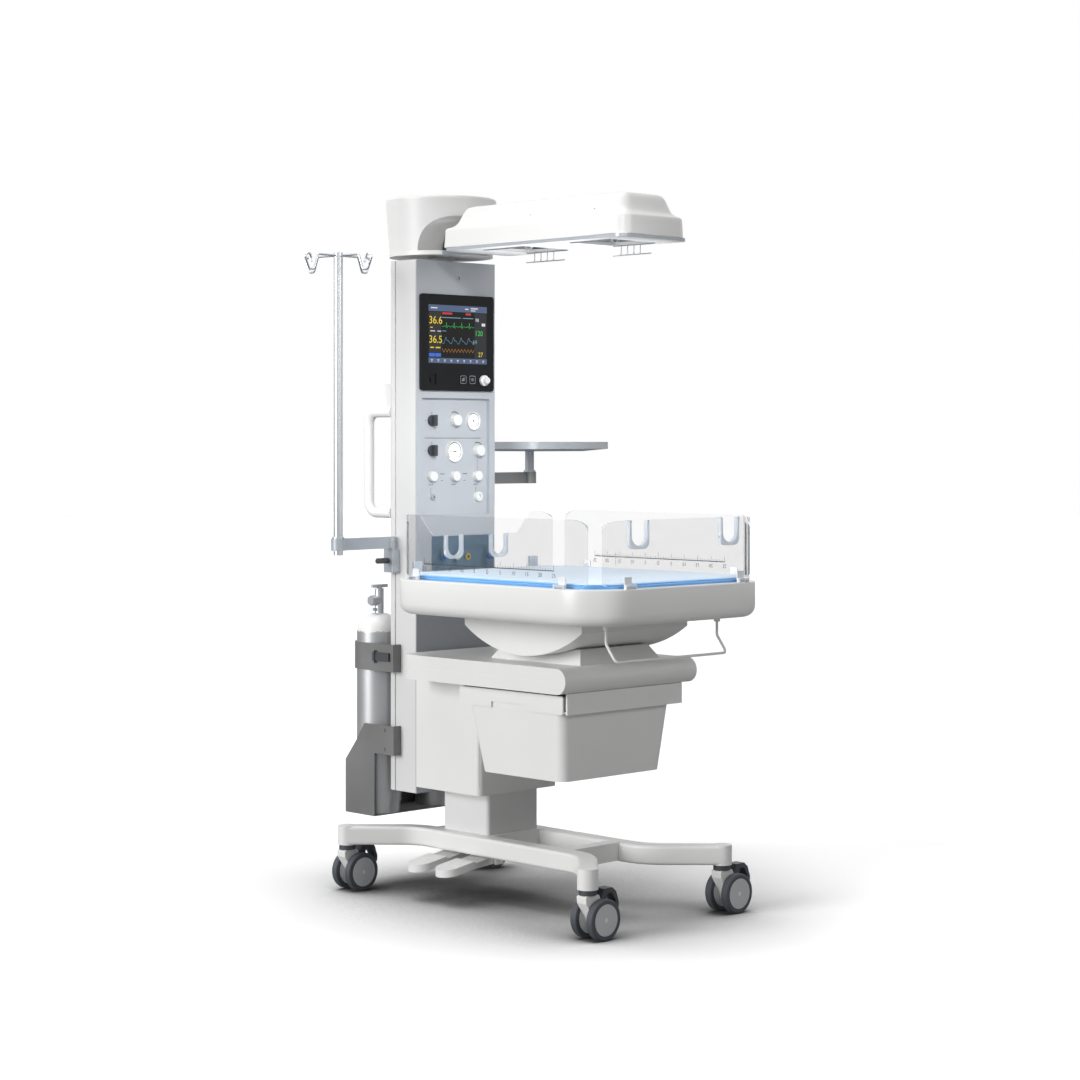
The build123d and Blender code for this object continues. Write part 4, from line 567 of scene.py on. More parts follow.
floor_paint, floor_output = blank("studio_floor")
floor_light = node(floor_paint, "ShaderNodeLightPath")
floor_rays = node(
    floor_paint, "ShaderNodeMath",
    [(0, floor_light.outputs["Is Camera Ray"]), (1, floor_light.outputs["Is Transmission Ray"])],
    operation="MAXIMUM",
).outputs[0]
floor_cloud = noise(floor_paint, 1.5)
floor_bounce = node(floor_paint, "ShaderNodeBsdfDiffuse", [("Color", colour("#999999"))])
floor_bright = node(
    floor_paint, "ShaderNodeMix",
    [(0, 1.0), (6, shade(floor_paint, floor_cloud, "#fbfbfb", "#ffffff")), (7, (FLOOR_GAIN,) * 3 + (1,))],
    data_type="RGBA", blend_type="MULTIPLY", clamp_result=False,
)
# Painted shadow: the floor's seen colour darkens towards near black where ambient occlusion finds the object
# close
floor_occlusion = node(floor_paint, "ShaderNodeAmbientOcclusion", [("Distance", 1.3)], samples=12).outputs["AO"]
painted_shadow_lightness = node(
    floor_paint, "ShaderNodeMapRange",
    [("Value", floor_occlusion), ("From Min", 0.3), ("From Max", 0.95), ("To Min", 0.05), ("To Max", 1.0)],
).outputs["Result"]
floor_with_painted_shadow = node(
    floor_paint, "ShaderNodeMix", [(0, painted_shadow_lightness), (6, (0.02, 0.02, 0.02, 1)), (7, floor_bright.outputs[2])],
    data_type="RGBA",
)
floor_seen = node(floor_paint, "ShaderNodeBsdfDiffuse", [("Color", floor_with_painted_shadow.outputs[2])])
floor_mix = node(
    floor_paint, "ShaderNodeMixShader",
    [(0, floor_rays), (1, floor_bounce.outputs[0]), (2, floor_seen.outputs[0])],
)
floor_paint.node_tree.links.new(floor_mix.outputs[0], floor_output.inputs["Surface"])
floor_mesh.materials.append(floor_paint)

world = bpy.data.worlds.new("studio")
world.use_nodes = True
world.node_tree.nodes.clear()
rays = node(world, "ShaderNodeLightPath")
seen = node(
    world, "ShaderNodeMath",
    [(0, rays.outputs["Is Camera Ray"]), (1, rays.outputs["Is Transmission Ray"])], operation="MAXIMUM",
)
shiny = node(
    world, "ShaderNodeMath", [(0, seen.outputs[0]), (1, rays.outputs["Is Glossy Ray"])], operation="MAXIMUM",
)
level = node(
    world, "ShaderNodeMapRange", [("Value", shiny.outputs[0]), ("To Min", ROOM_LIGHT), ("To Max", SEEN_WHITE)],
)
sky = node(world, "ShaderNodeBackground", [("Color", (1, 1, 1, 1)), ("Strength", level.outputs["Result"])])
node(world, "ShaderNodeOutputWorld", [("Surface", sky.outputs[0])])
scene.world = world

# %% [markdown]
# ## The mattress
# The foam pad is lofted ring by ring over the tray's outline, then its cover is inflated a little by a
# cloth simulation, so that the top crowns and the sides fill out between the corners.


# %% Mattress
def bed_ring(inset, corner, step=6):
    """The bed's plan, a rectangle with cut corners, drawn in from the panels and rounded."""
    leg = 2 - math.sqrt(2)
    x, front, rear = PANEL_X - inset, PANEL_FRONT + inset, PANEL_REAR - inset
    cut_x, cut_y = CUT_X - inset * leg, CUT_Y - inset * leg
    points = [
        (-x + cut_x, front), (x - cut_x, front), (x, front + cut_y), (x, rear - cut_y),
        (x - cut_x, rear), (-x + cut_x, rear), (-x, rear - cut_y), (-x, front + cut_y),
    ]
    ring = []
    for index, point in enumerate(points):
        here = Vector(point)
        before = Vector(points[index - 1])
        after = Vector(points[(index + 1) % len(points)])
        start = here + (before - here).normalized() * corner
        end = here + (after - here).normalized() * corner
        for turn in range(step + 1):
            share = turn / step
            ring.append(start.lerp(here, share).lerp(here.lerp(end, share), share))
    return ring


def loft_rings(name, rings):
    """A closed form through rings of equal length, given as (x, y, z) places."""
    mesh = bpy.data.meshes.new(name)
    count = len(rings[0])
    points = [at(*place) for ring in rings for place in ring]
    faces = []
    for level in range(len(rings) - 1):
        for index in range(count):
            following = (index + 1) % count
            faces.append((
                level * count + index, level * count + following,
                (level + 1) * count + following, (level + 1) * count + index,
            ))
    faces.append(tuple(range(count - 1, -1, -1)))
    faces.append(tuple(range((len(rings) - 1) * count, len(rings) * count)))
    mesh.from_pydata(points, [], faces)
    return linked(name, mesh)


PAD_LOW = 872.4
PAD_TOP = 919.0
PAD_INSET = 10.0
PAD_CORNER = 40.0
PAD_PROFILE = ((6, 0), (1, 5), (0, 12), (0, 34), (1, 41), (6, 46.6))
mattress_top = measured(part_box("mattress")[1]).z
pad = loft_rings("mattress_pad", [
    [(p.x, p.y, PAD_LOW + rise) for p in bed_ring(PAD_INSET + inset, PAD_CORNER)] for inset, rise in PAD_PROFILE
])


def apply_modifiers(made):
    """Replaces an object's mesh by what its modifiers make of it."""
    shaped = bpy.data.meshes.new_from_object(made.evaluated_get(bpy.context.evaluated_depsgraph_get()))
    made.modifiers.clear()
    made.data = shaped


VOXEL = 0.008
CLOTH_PRESSURE = 4.0
CLOTH_FRAMES = 16
SWELL_SIDE = 1.2
SWELL_TOP = 6.0
SINK_TOP = 0.2
SWELL_SHARE = 0.4
CROWN_POWER = 4
remesh = pad.modifiers.new("skin", "REMESH")
remesh.mode = "VOXEL"
remesh.voxel_size = VOXEL
apply_modifiers(pad)
resting = [measured(vertex.co) for vertex in pad.data.vertices]
cloth = pad.modifiers.new("cover", "CLOTH")
cloth.settings.use_pressure = True
cloth.settings.uniform_pressure_force = CLOTH_PRESSURE
cloth.settings.effector_weights.gravity = 0
for moment in range(1, CLOTH_FRAMES + 1):
    scene.frame_set(moment)
apply_modifiers(pad)
scene.frame_set(1)

HALF_WIDTH = 318.0
HALF_LENGTH = 390.0
CROWN = 4.0
for vertex, rest in zip(pad.data.vertices, resting):
    place = measured(vertex.co)
    swell = place - rest
    side = Vector((swell.x, swell.y, 0))
    side *= min(1, SWELL_SIDE / max(side.length, SWELL_SIDE))
    up = max(-SINK_TOP, min(SWELL_TOP, swell.z)) * SWELL_SHARE
    across = (rest.x / HALF_WIDTH) ** CROWN_POWER
    along = ((rest.y - MIDDLE_Y) / HALF_LENGTH) ** CROWN_POWER
    share = max(0, (rest.z - PAD_LOW) / (PAD_TOP - PAD_LOW))
    crown = CROWN * max(0, 1 - across) * max(0, 1 - along) * share
    vertex.co = at(rest.x + side.x, rest.y + side.y, max(PAD_LOW, rest.z + (up + crown) * share))
smooth = pad.modifiers.new("smooth", "SUBSURF")
smooth.levels = 1
smooth.render_levels = 1
apply_modifiers(pad)
pad.data.shade_smooth()
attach(pad, "bed")
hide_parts("mattress")
pad_top = max(measured(vertex.co).z for vertex in pad.data.vertices)
print("mattress rises to", round(pad_top, 1), "of", round(mattress_top, 1))


# %% [markdown]
# The cover's welded seam runs round the top edge of the pad as thin piping.

# %% Piping
def piping(name, places, radius):
    """A closed cord of cloth through the places, swept along a curve and kept as a mesh."""
    curve = bpy.data.curves.new(name, "CURVE")
    curve.dimensions = "3D"
    curve.bevel_depth = radius * MM
    curve.bevel_resolution = 3
    line = curve.splines.new("POLY")
    line.points.add(len(places) - 1)
    for point, place in zip(line.points, places):
        point.co = (*at(*place), 1)
    line.use_cyclic_u = True
    route = linked(f"{name}_route", curve)
    tube = bpy.data.meshes.new_from_object(route.evaluated_get(bpy.context.evaluated_depsgraph_get()))
    bpy.data.objects.remove(route)
    tube.shade_smooth()
    return linked(name, tube)


SEAM_RADIUS = 1.1
SEAM_HEIGHT = 917.2
SEAM_INSET = 11.6
seam = piping(
    "mattress_seam", [(p.x, p.y, SEAM_HEIGHT) for p in bed_ring(SEAM_INSET, PAD_CORNER)], SEAM_RADIUS,
)
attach(seam, "bed")
cover, cover_output = blank("mattress_cover")
cover_cloud = noise(cover, 5.0)
threads = [
    node(
        cover, "ShaderNodeTexWave",
        [
            ("Vector", node(cover, "ShaderNodeTexCoord").outputs["Object"]), ("Scale", 420.0),
            ("Distortion", 0.6),
        ],
        bands_direction=direction,
    ).outputs["Fac"]
    for direction in "XY"
]
weave = node(cover, "ShaderNodeMath", list(enumerate(threads)), operation="ADD")
cover_relief = node(
    cover, "ShaderNodeBump", [("Strength", 0.18), ("Distance", 0.0003), ("Height", weave.outputs[0])],
)
# Painted sheen: faces that look up are painted a pale blue and the sides a deeper blue, for the glare on the
# top at a grazing view
cover_normal = node(cover, "ShaderNodeNewGeometry").outputs["Normal"]
cover_glance = node(cover, "ShaderNodeSeparateXYZ", [("Vector", cover_normal)]).outputs["Z"]
cover_painted_sheen = node(
    cover, "ShaderNodeMapRange",
    [("Value", cover_glance), ("From Min", 0.80), ("From Max", 0.97), ("To Min", 0.0), ("To Max", 1.0)],
)
cover_colour_with_painted_sheen = node(
    cover, "ShaderNodeMix",
    [
        (0, cover_painted_sheen.outputs["Result"]), (6, shade(cover, cover_cloud, "#549ad8", "#60a5e0")),
        (7, colour("#d3e6f8")),
    ],
    data_type="RGBA",
)
cover_shader = node(
    cover, "ShaderNodeBsdfPrincipled",
    [
        ("Base Color", cover_colour_with_painted_sheen.outputs[2]),
        ("Roughness", between(cover, cover_cloud, 0.36, 0.46)), ("Normal", cover_relief.outputs["Normal"]),
        ("Sheen Weight", 0.15),
    ],
)
cover.node_tree.links.new(cover_shader.outputs[0], cover_output.inputs["Surface"])
cover.diffuse_color = colour("#7cbcef")
pad.data.materials.clear()
pad.data.materials.append(cover)
seam.data.materials.append(cover)
print("mattress has", len(pad.data.polygons), "faces")

# %% [markdown]
# ## The hood
# The hood's moulding is lofted too: an upright skirt, a narrow ledge, then a hollow slope that rises to
# round shoulders. Each step is a share of the way in to the top's outline, and its rise over the skirt.

# %% Hood
HOOD_SIDE = 130.0
HOOD_TOP_SIDE = 83.0
HOOD_SLOPES = (42.0, 49.0)
HOOD_SKIRT = 53.0
HOOD_CORNERS = (44.0, 30.0)
HOOD_BACK = 20.0
HOOD_WALL = 4.0
HOOD_STEPS = (
    (-0.05, -HOOD_SKIRT), (-0.05, -50), (-0.01, -14), (0.0, -5), (0.03, -1), (0.10, 1.5), (0.24, 4),
    (0.38, 8), (0.48, 13), (0.57, 20), (0.65, 30), (0.74, 42), (0.83, 51), (0.94, 58), (1.1, 61.6),
    (1.4, 63),
)
HOOD_ENDS = (3.0, 703.0)
hood_low = measured(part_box("hood_shell")[0])


def rounded_ring(half, front, rear, corner, back, height, steps=7):
    """A rounded rectangle as (x, y, z) places."""
    ring = []
    for x, y, start, corner in (
        (half - back, rear - back, 0, back), (back - half, rear - back, 90, back),
        (corner - half, front + corner, 180, corner), (half - corner, front + corner, 270, corner),
    ):
        for index in range(steps + 1):
            angle = math.radians(start + 90 * index / steps)
            ring.append((x + corner * math.cos(angle), y + corner * math.sin(angle), height))
    return ring


def hood_ring(share, rise, inset):
    """The hood's outline at a share of the way in to its top, with the wall taken off."""
    lead, trail = (slope * share for slope in HOOD_SLOPES)
    return rounded_ring(
        HOOD_SIDE + (HOOD_TOP_SIDE - HOOD_SIDE) * share - inset,
        HOOD_ENDS[0] + lead + inset, HOOD_ENDS[1] - trail - inset,
        HOOD_CORNERS[0] + (HOOD_CORNERS[1] - HOOD_CORNERS[0]) * share - inset, HOOD_BACK - inset,
        hood_low.z + HOOD_SKIRT + rise - (inset if rise > 0 else 0),
    )


inside = [hood_ring(share, rise, HOOD_WALL) for share, rise in reversed(HOOD_STEPS)]
outside = [hood_ring(share, rise, 0) for share, rise in HOOD_STEPS]
hood = loft_rings("hood_moulding", inside + outside)
hood.data.materials.append(white_plastic)
hood.data.shade_smooth()
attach(hood, "head")
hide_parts("hood_shell")
BACK = Vector((0, 1, 0))
SCREW_OUT = Vector((-0.914, 0, 0.403))
SCREW_ALONG = SCREW_OUT.cross(BACK)
SCREW_X = -102.6
SCREW_RISE = 20.0
SCREW_SHARES = (0.18, 0.53)
SCREW_PROFILE = ((3.5, -2.0), (3.5, 0.5), (2.9, 0.9))


def turned(centre, first, second, out, profile, steps):
    """Rings round a centre for `loft_rings`: the profile holds radii and their place along the axis."""
    turns = [2 * math.pi * index / steps for index in range(steps)]
    return [
        [tuple(centre + out * lift + (first * math.cos(t) + second * math.sin(t)) * radius) for t in turns]
        for radius, lift in profile
    ]


for share in SCREW_SHARES:
    screw_y = HOOD_ENDS[0] + share * (HOOD_ENDS[1] - HOOD_ENDS[0])
    seat = Vector((SCREW_X, screw_y, hood_low.z + HOOD_SKIRT + SCREW_RISE))
    screw = loft_rings(
        f"hood_screw_{round(share * 100)}", turned(seat, BACK, SCREW_ALONG, SCREW_OUT, SCREW_PROFILE, 20),
    )
    screw.data.materials.append(steel)
    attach(screw, "head")
print("hood of", len(hood.data.polygons), "faces")

# %% [markdown]
# ## The bed tray
# The tray is one moulding with wide round corners, a rolled lower edge and a flat rim round the mattress.
# The hinge ears, the rear panel's guides and the bail's sockets stand on it.

# %% Tray
TRAY_OUT = 22.0
TRAY_RIM_WIDTH = 28.0
TRAY_DEEP = 96.0
TRAY_RECESS = 36.0
TRAY_LOW_ROUND = 30.0
TRAY_EDGE = 4.0
TRAY_CORNER = 52.0
TRAY_CORNER_GROWTH = 10.0
TRAY_INNER_CORNER = 40.0
TRAY_FOOT_CORNER = 30.0
TRAY_FOOT_INSET = 40.0
TRAY_RIM_EASE = 0.6
TRAY_FLOOR_WIDTH = 20.0
TRAY_SOCKET_DROP = 14.0
tray_foot = measured(tray_low).z + TRAY_SOCKET_DROP
tray_rim = tray_foot + TRAY_DEEP


def tray_ring(inset, height, corner):
    """The tray's outline at one height."""
    return [(p.x, p.y, height) for p in bed_ring(inset, corner, 9)]


tray_rings = [tray_ring(TRAY_LOW_ROUND - TRAY_OUT + TRAY_FOOT_INSET, tray_foot, TRAY_FOOT_CORNER)]
for index in range(8):
    turn = math.radians(90 * index / 7)
    tray_rings.append(tray_ring(
        TRAY_LOW_ROUND * (1 - math.sin(turn)) - TRAY_OUT, tray_foot + TRAY_LOW_ROUND * (1 - math.cos(turn)),
        TRAY_CORNER - TRAY_CORNER_GROWTH * (1 - math.sin(turn)),
    ))
for index in range(5):
    turn = math.radians(90 * index / 4)
    tray_rings.append(tray_ring(
        TRAY_EDGE * (1 - math.cos(turn)) - TRAY_OUT, tray_rim - TRAY_EDGE * (1 - math.sin(turn)), TRAY_CORNER,
    ))
for inset, height in (
    (-TRAY_RIM_EASE, 0), (0, -TRAY_RIM_EASE), (0, TRAY_RIM_EASE - TRAY_RECESS), (TRAY_RIM_EASE, -TRAY_RECESS),
    (TRAY_FLOOR_WIDTH, -TRAY_RECESS),
):
    tray_rings.append(tray_ring(TRAY_RIM_WIDTH - TRAY_OUT + inset, tray_rim + height, TRAY_INNER_CORNER))
tray = loft_rings("bed_tray_moulding", tray_rings)
tray.data.materials.append(white_plastic)
tray.data.shade_smooth()


BLOCK_EASE = 0.8


def small_block(name, low, high, material):
    """A plain block on the tray with softened edges, between two places."""
    mesh = bpy.data.meshes.new(name)
    form = bmesh.new()
    bmesh.ops.create_cube(form, size=1)
    centre, size = (Vector(low) + Vector(high)) / 2, Vector(high) - Vector(low)
    for corner in form.verts:
        corner.co = at(*(centre + Vector(a * b for a, b in zip(corner.co, size))))
    bmesh.ops.bevel(form, geom=form.edges[:], offset=BLOCK_EASE * MM, segments=2, affect="EDGES")
    form.to_mesh(mesh)
    form.free()
    mesh.materials.append(material)
    made = linked(name, mesh)
    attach(made, "bed")


EAR_HALF = 5.0
EAR_LONG = 7.0
EAR_INNER = 13.3
EAR_RISE = 11.0
BLOCK_SINK = 1.0
HINGE_OUT = 14.5
ears = [(side * (PANEL_X + HINGE_OUT), y, False) for side in (-1, 1) for y in HINGE_SIDE_PLACES]
ears += [(x, PANEL_FRONT - HINGE_OUT, True) for x in (-HINGE_FRONT_X, HINGE_FRONT_X)]
for number, (x, y, across) in enumerate(ears):
    for side in (-1, 1):
        near_end, far_end = sorted((EAR_INNER * side, (EAR_INNER + EAR_LONG) * side))
        along = ((x + near_end, x + far_end), (y - EAR_HALF, y + EAR_HALF))
        if not across:
            along = ((x - EAR_HALF, x + EAR_HALF), (y + near_end, y + far_end))
        small_block(
            f"hinge_ear_{number}_{side + 1}", (along[0][0], along[1][0], tray_rim - BLOCK_SINK),
            (along[0][1], along[1][1], tray_rim + EAR_RISE), white_plastic,
        )
GUIDE_X = 225.0
GUIDE_HALF = 15.0
GUIDE_OFFSETS = (-7.3, 3.3)
GUIDE_WALL = 4.0
GUIDE_RISE = 42.0
BAIL_X = 215.0
BAIL_Y = -22.0
SOCKET_PROFILE = ((9.0, 2.0), (9.0, 1.5 - TRAY_SOCKET_DROP), (7.65, -TRAY_SOCKET_DROP))
for side in (-1, 1):
    for offset in GUIDE_OFFSETS:
        small_block(
            f"panel_guide_{side + 1}_{round(offset + 8)}",
            (GUIDE_X * side - GUIDE_HALF, PANEL_REAR + offset, tray_rim - BLOCK_SINK),
            (GUIDE_X * side + GUIDE_HALF, PANEL_REAR + offset + GUIDE_WALL, tray_rim + GUIDE_RISE),
            grommet_plastic,
        )
for side in (-1, 1):
    place = Vector((BAIL_X * side, BAIL_Y, tray_foot))
    socket = loft_rings(
        f"bail_socket_{side + 1}",
        turned(place, Vector((1, 0, 0)), BACK, Vector((0, 0, 1)), SOCKET_PROFILE, 24),
    )
    socket.data.materials.append(white_plastic)
    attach(socket, "bed")
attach(tray, "bed")
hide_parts("bed_tray")
print("tray of", len(tray.data.polygons), "faces")

# %% [markdown]
# ## Printed marks
# Rulers, dial faces and the lit display are thin flat pieces. Each is drawn in millimetres on its own
# plane, with u to the right and v up as its reader sees it, and sits just proud of its surface.


# %% Flat drawings
def bar(u0, u1, v0, v1):
    """One upright rectangle."""
    return [[(u0, v0), (u1, v0), (u1, v1), (u0, v1)]]


def ring_band(u, v, inner, outer, start=0, end=360, steps=40):
    """A band between two circles, from one angle to another in degrees, counter-clockwise from the right."""
    faces = []
    for index in range(steps):
        a, b = (math.radians(start + (end - start) * (index + k) / steps) for k in (0, 1))
        faces.append([
            (u + radius * math.cos(turn), v + radius * math.sin(turn))
            for radius, turn in ((inner, a), (outer, a), (outer, b), (inner, b))
        ])
    return faces


def stroke(points, width):
    """A pen line through the points."""
    faces = []
    for (u0, v0), (u1, v1) in zip(points, points[1:]):
        length = math.hypot(u1 - u0, v1 - v0)
        su, sv = -(v1 - v0) / length * width / 2, (u1 - u0) / length * width / 2
        faces.append([(u0 - su, v0 - sv), (u1 - su, v1 - sv), (u1 + su, v1 + sv), (u0 + su, v0 + sv)])
    return faces


def numeral(text, u, v, height):
    """A plain number centred on u and v."""
    curve = bpy.data.curves.new("numeral", "FONT")
    curve.body = text
    curve.size = height * 1.4
    curve.align_x = "CENTER"
    curve.align_y = "CENTER"
    holder = linked("numeral", curve)
    bpy.context.view_layer.update()
    mesh = bpy.data.meshes.new_from_object(holder.evaluated_get(bpy.context.evaluated_depsgraph_get()))
    corners = [(u + corner.co.x, v + corner.co.y) for corner in mesh.vertices]
    faces = [[corners[index] for index in face.vertices] for face in mesh.polygons]
    bpy.data.objects.remove(holder)
    bpy.data.meshes.remove(mesh)
    return faces


LAYER = 0.05


def drawing(name, origin, right, up, groups, body, proud=0.15):
    """One flat piece from groups of (material, faces), on a plane with its origin in the measuring frame."""
    right, up = Vector(right), Vector(up)
    out = right.cross(up)
    form = bmesh.new()
    for index, (_, faces) in enumerate(groups):
        base = Vector(origin) + out * (proud + LAYER * index)
        for face in faces:
            corners = [form.verts.new(at(*(base + right * u + up * v))) for u, v in face]
            form.faces.new(corners).material_index = index
    mesh = bpy.data.meshes.new(name)
    form.normal_update()
    form.to_mesh(mesh)
    form.free()
    for material, _ in groups:
        mesh.materials.append(material)
    made = linked(name, mesh)
    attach(made, body)


# %% [markdown]
# Each long side panel carries a ruler of 25 cm each way from the middle, read from outside the bed.

# %% Rulers
RULER_HALF = 250
RULER_LINE = 952.0
RULER_WIDTH = 2.4
RULER_TICK = 0.6
RULER_RISES = (21, 15, 7)
FIGURE_DROP = -12.5
FIGURE_HEIGHTS = (12.5, 10.5)
PANEL_FACE = PANEL_X + PANEL_HALF_WALL
ruler = bar(-RULER_HALF - 1, RULER_HALF + 1, -RULER_WIDTH / 2, RULER_WIDTH / 2)
for step in range(-25, 26):
    tall = RULER_RISES[0] if step == 0 else RULER_RISES[1] if step % 5 == 0 else RULER_RISES[2]
    ruler += bar(step * 10 - RULER_TICK, step * 10 + RULER_TICK, 0, tall)
    if step % 5 == 0:
        ruler += numeral(str(abs(step)), step * 10, FIGURE_DROP, FIGURE_HEIGHTS[bool(step)])
for side, body in ((-1, "left_panel"), (1, "right_panel")):
    drawing(
        f"{body}_ruler", (PANEL_FACE * side, MIDDLE_Y, RULER_LINE), (0, side, 0), (0, 0, 1),
        [(ink, ruler)], body,
    )
print("rulers of", len(ruler), "faces")

# %% [markdown]
# A soft U-shaped grommet lines each slot of the front and rear panels, where cables and tubes pass.

# %% Grommets
GROMMET_DEEP = 13.0
GROMMET_WALL = 9.0
GROMMET_ROUND = 2.2
GROMMET_FIT = 0.3
SLOT_ROUND = 20.0


def slot_line(half, bottom, top, corner):
    """Half-width, bottom, top and corner radius of a slot, as a path down one side and up the other."""
    points = [(-half, top), (-half, (top + bottom + corner) / 2)]
    for start, u in ((180, corner - half), (270, half - corner)):
        for index in range(13):
            angle = math.radians(start + 90 * index / 12)
            points.append((u + corner * math.cos(angle), bottom + corner + corner * math.sin(angle)))
    return points + [(half, (top + bottom + corner) / 2), (half, top)]


def grommet(name, x, y, half, bottom, top, carrier):
    """A U-shaped strip of one section, swept down a slot and up again."""
    outer = slot_line(half - GROMMET_FIT, bottom + GROMMET_FIT, top, SLOT_ROUND)
    inner_half = half - GROMMET_WALL
    inner = slot_line(inner_half, bottom + GROMMET_WALL, top, inner_half)
    form = bmesh.new()
    rings = []
    for near_line, far_line in zip(outer, inner):
        ring = [
            form.verts.new(at(x + u, y + side * GROMMET_DEEP / 2, v))
            for (u, v), side in ((near_line, -1), (far_line, -1), (far_line, 1), (near_line, 1))
        ]
        rings.append(ring)
    for before, after in zip(rings, rings[1:]):
        for index in range(4):
            form.faces.new([before[index], before[index - 1], after[index - 1], after[index]])
    form.faces.new(rings[0])
    form.faces.new(rings[-1][::-1])
    bmesh.ops.recalc_face_normals(form, faces=form.faces)
    mesh = bpy.data.meshes.new(name)
    form.to_mesh(mesh)
    form.free()
    mesh.materials.append(grommet_plastic)
    made = linked(name, mesh)
    rounding = made.modifiers.new("rounding", "BEVEL")
    rounding.width = GROMMET_ROUND * MM
    rounding.segments = 3
    rounding.angle_limit = math.radians(50)
    apply_modifiers(made)
    made.data.shade_smooth()
    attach(made, carrier)


FRONT_SLOT = (176.0, 37.5, 75.0)
REAR_SLOT = (87.0, 34.0, 43.9, 111.9)
front_top = measured(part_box("front_panel")[1]).z
rear_foot = measured(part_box("rear_panel")[0]).z
for side in (-1, 1):
    x, half, depth = FRONT_SLOT
    grommet(
        f"front_grommet_{side + 1}", x * side, PANEL_FRONT, half, front_top - depth, front_top, "front_panel",
    )
    x, half, bottom, top = REAR_SLOT
    grommet(
        f"rear_grommet_{side + 1}", x * side, PANEL_REAR, half, rear_foot + bottom, rear_foot + top,
        "rear_panel",
    )
print("grommets up to z", round(front_top, 1), "and from the rear panel's foot at", round(rear_foot, 1))

# %% [markdown]
# The monitor shows numbers and moving traces. Places on it are in hundredths of the screen's width from
# the left and of its height from the bottom.

# %% Monitor display
SCREEN_WIDTH = SCREEN[1] - SCREEN[0]
SCREEN_HEIGHT = SCREEN[3] - SCREEN[2]
BEZEL_FACE = 781.5


def spot(across, up):
    """A place on the screen, in millimetres from its lower left corner."""
    return SCREEN_WIDTH * across / 100, SCREEN_HEIGHT * up / 100


def patch(left, right, low, high):
    """A filled rectangle on the screen."""
    (u0, v0), (u1, v1) = spot(left, low), spot(right, high)
    return bar(u0, u1, v0, v1)


def trace(places, width=0.9):
    """A line through places on the screen."""
    return stroke([spot(*place) for place in places], width)


def digits(text, across, up, tall):
    """A number on the screen, as tall as a share of its height."""
    u, v = spot(across, up)
    return numeral(text, u, v, SCREEN_HEIGHT * tall / 100)


lit = {
    name: lit_finish(f"display_{name}", text, strength)
    for name, text, strength in (
        ("slate", "#51668a", 0.8), ("panel", "#15191f", 0.5), ("yellow", "#f2d21f", 1.0),
        ("green", "#2fd65c", 0.9), ("cyan", "#7fb9cf", 0.8), ("amber", "#d88a1e", 0.9),
        ("red", "#d8262c", 0.9), ("white", "#e6eaf0", 0.9), ("blue", "#2f6fe0", 0.9),
    )
}
slate = patch(0, 100, 89, 100) + patch(0, 100, 0, 9)
yellow = digits("36.6", 12, 73, 13) + digits("36.5", 12, 40, 13) + digits("27", 89, 16, 8)
yellow += patch(3, 9, 25.5, 27.5) + patch(12, 20, 25.5, 27.5) + patch(3, 7, 60, 61.5)
white = digits("98", 83, 76, 6) + patch(91, 97, 66, 71) + patch(3, 11, 54, 55.5) + patch(15, 21, 54, 55.5)
white += patch(4, 15, 93.5, 95.5) + patch(62, 68, 93.5, 95.5)
white += patch(72, 84, 95, 97) + patch(72, 80, 91.5, 93)
for index in range(9):
    left = 4 + 11 * index
    white += patch(left, left + 3.2, 5, 6.2) + patch(left + 0.8, left + 2.4, 2.6, 4.2)
green = digits("120", 86, 53, 9)
cyan = digits("64", 79, 38, 7)
red = patch(23, 40, 84, 87.5) + patch(63, 72, 84, 87.5)
# Four beats of two traces: each beat is a list of steps on from where it starts
HEART_BEAT = ((0, 63), (1.5, 65), (2.6, 63), (3.6, 62), (4.4, 71), (5.2, 60.5), (6, 63), (8, 64.6), (10, 63))
PULSE_BEAT = ((0, 34), (3.2, 45), (5.5, 38.5), (7, 39.5), (11, 34))
heart = [(23, 63)]
pulse = [(23, 34)]
for beat in range(4):
    start = 26 + 13 * beat
    heart += [(start + step, up) for step, up in HEART_BEAT]
    pulse += [(start + step, up) for step, up in PULSE_BEAT]
green += trace(heart + [(78, 63)])
cyan += trace(pulse + [(78, 34)])
amber = trace([(23 + 2.75 * index, 19 if index % 2 else 25) for index in range(21)])
grey_rows = patch(23, 55, 78, 79.2) + patch(58, 76, 78, 79.2) + patch(23, 30, 55, 56)
blue = patch(11.5, 21, 11, 17) + patch(0.8, 10.8, 11, 17)
panels = patch(0.8, 21.5, 18, 88) + patch(78.5, 99.2, 10, 88)
drawing(
    "monitor_display", (SCREEN[0], BEZEL_FACE, SCREEN[2]), (1, 0, 0), (0, 0, 1),
    [
        (lit["panel"], panels), (lit["slate"], slate), (lit["blue"], blue), (lit["yellow"], yellow),
        (lit["white"], white), (lit["green"], green), (lit["cyan"], cyan + grey_rows),
        (lit["amber"], amber), (lit["red"], red),
    ],
    "carriage", proud=0.05,
)
print("display of", len(slate + yellow + white + green + cyan + red + amber), "faces")

# %% [markdown]
# The keys on the bezel have a pale outline and a plain sign each: a crossed bell and three lines.

# %% Keys
KEY_FACE = 780.0
KEY_HEIGHT = 1463.0
key_grey = finish("key_outline", "#a9adb3", "#b9bdc3", (0.4, 0.5), 1500, 0.1)


def rounded_frame(half, corner, width):
    """The outline of a rounded square."""
    faces = []
    inner = half - corner
    for u, v, start in ((inner, inner, 0), (-inner, inner, 90), (-inner, -inner, 180), (inner, -inner, 270)):
        faces += ring_band(u, v, corner - width, corner, start, start + 90, 8)
    faces += bar(-inner, inner, half - width, half) + bar(-inner, inner, -half, -half + width)
    faces += bar(half - width, half, -inner, inner) + bar(-half, -half + width, -inner, inner)
    return faces


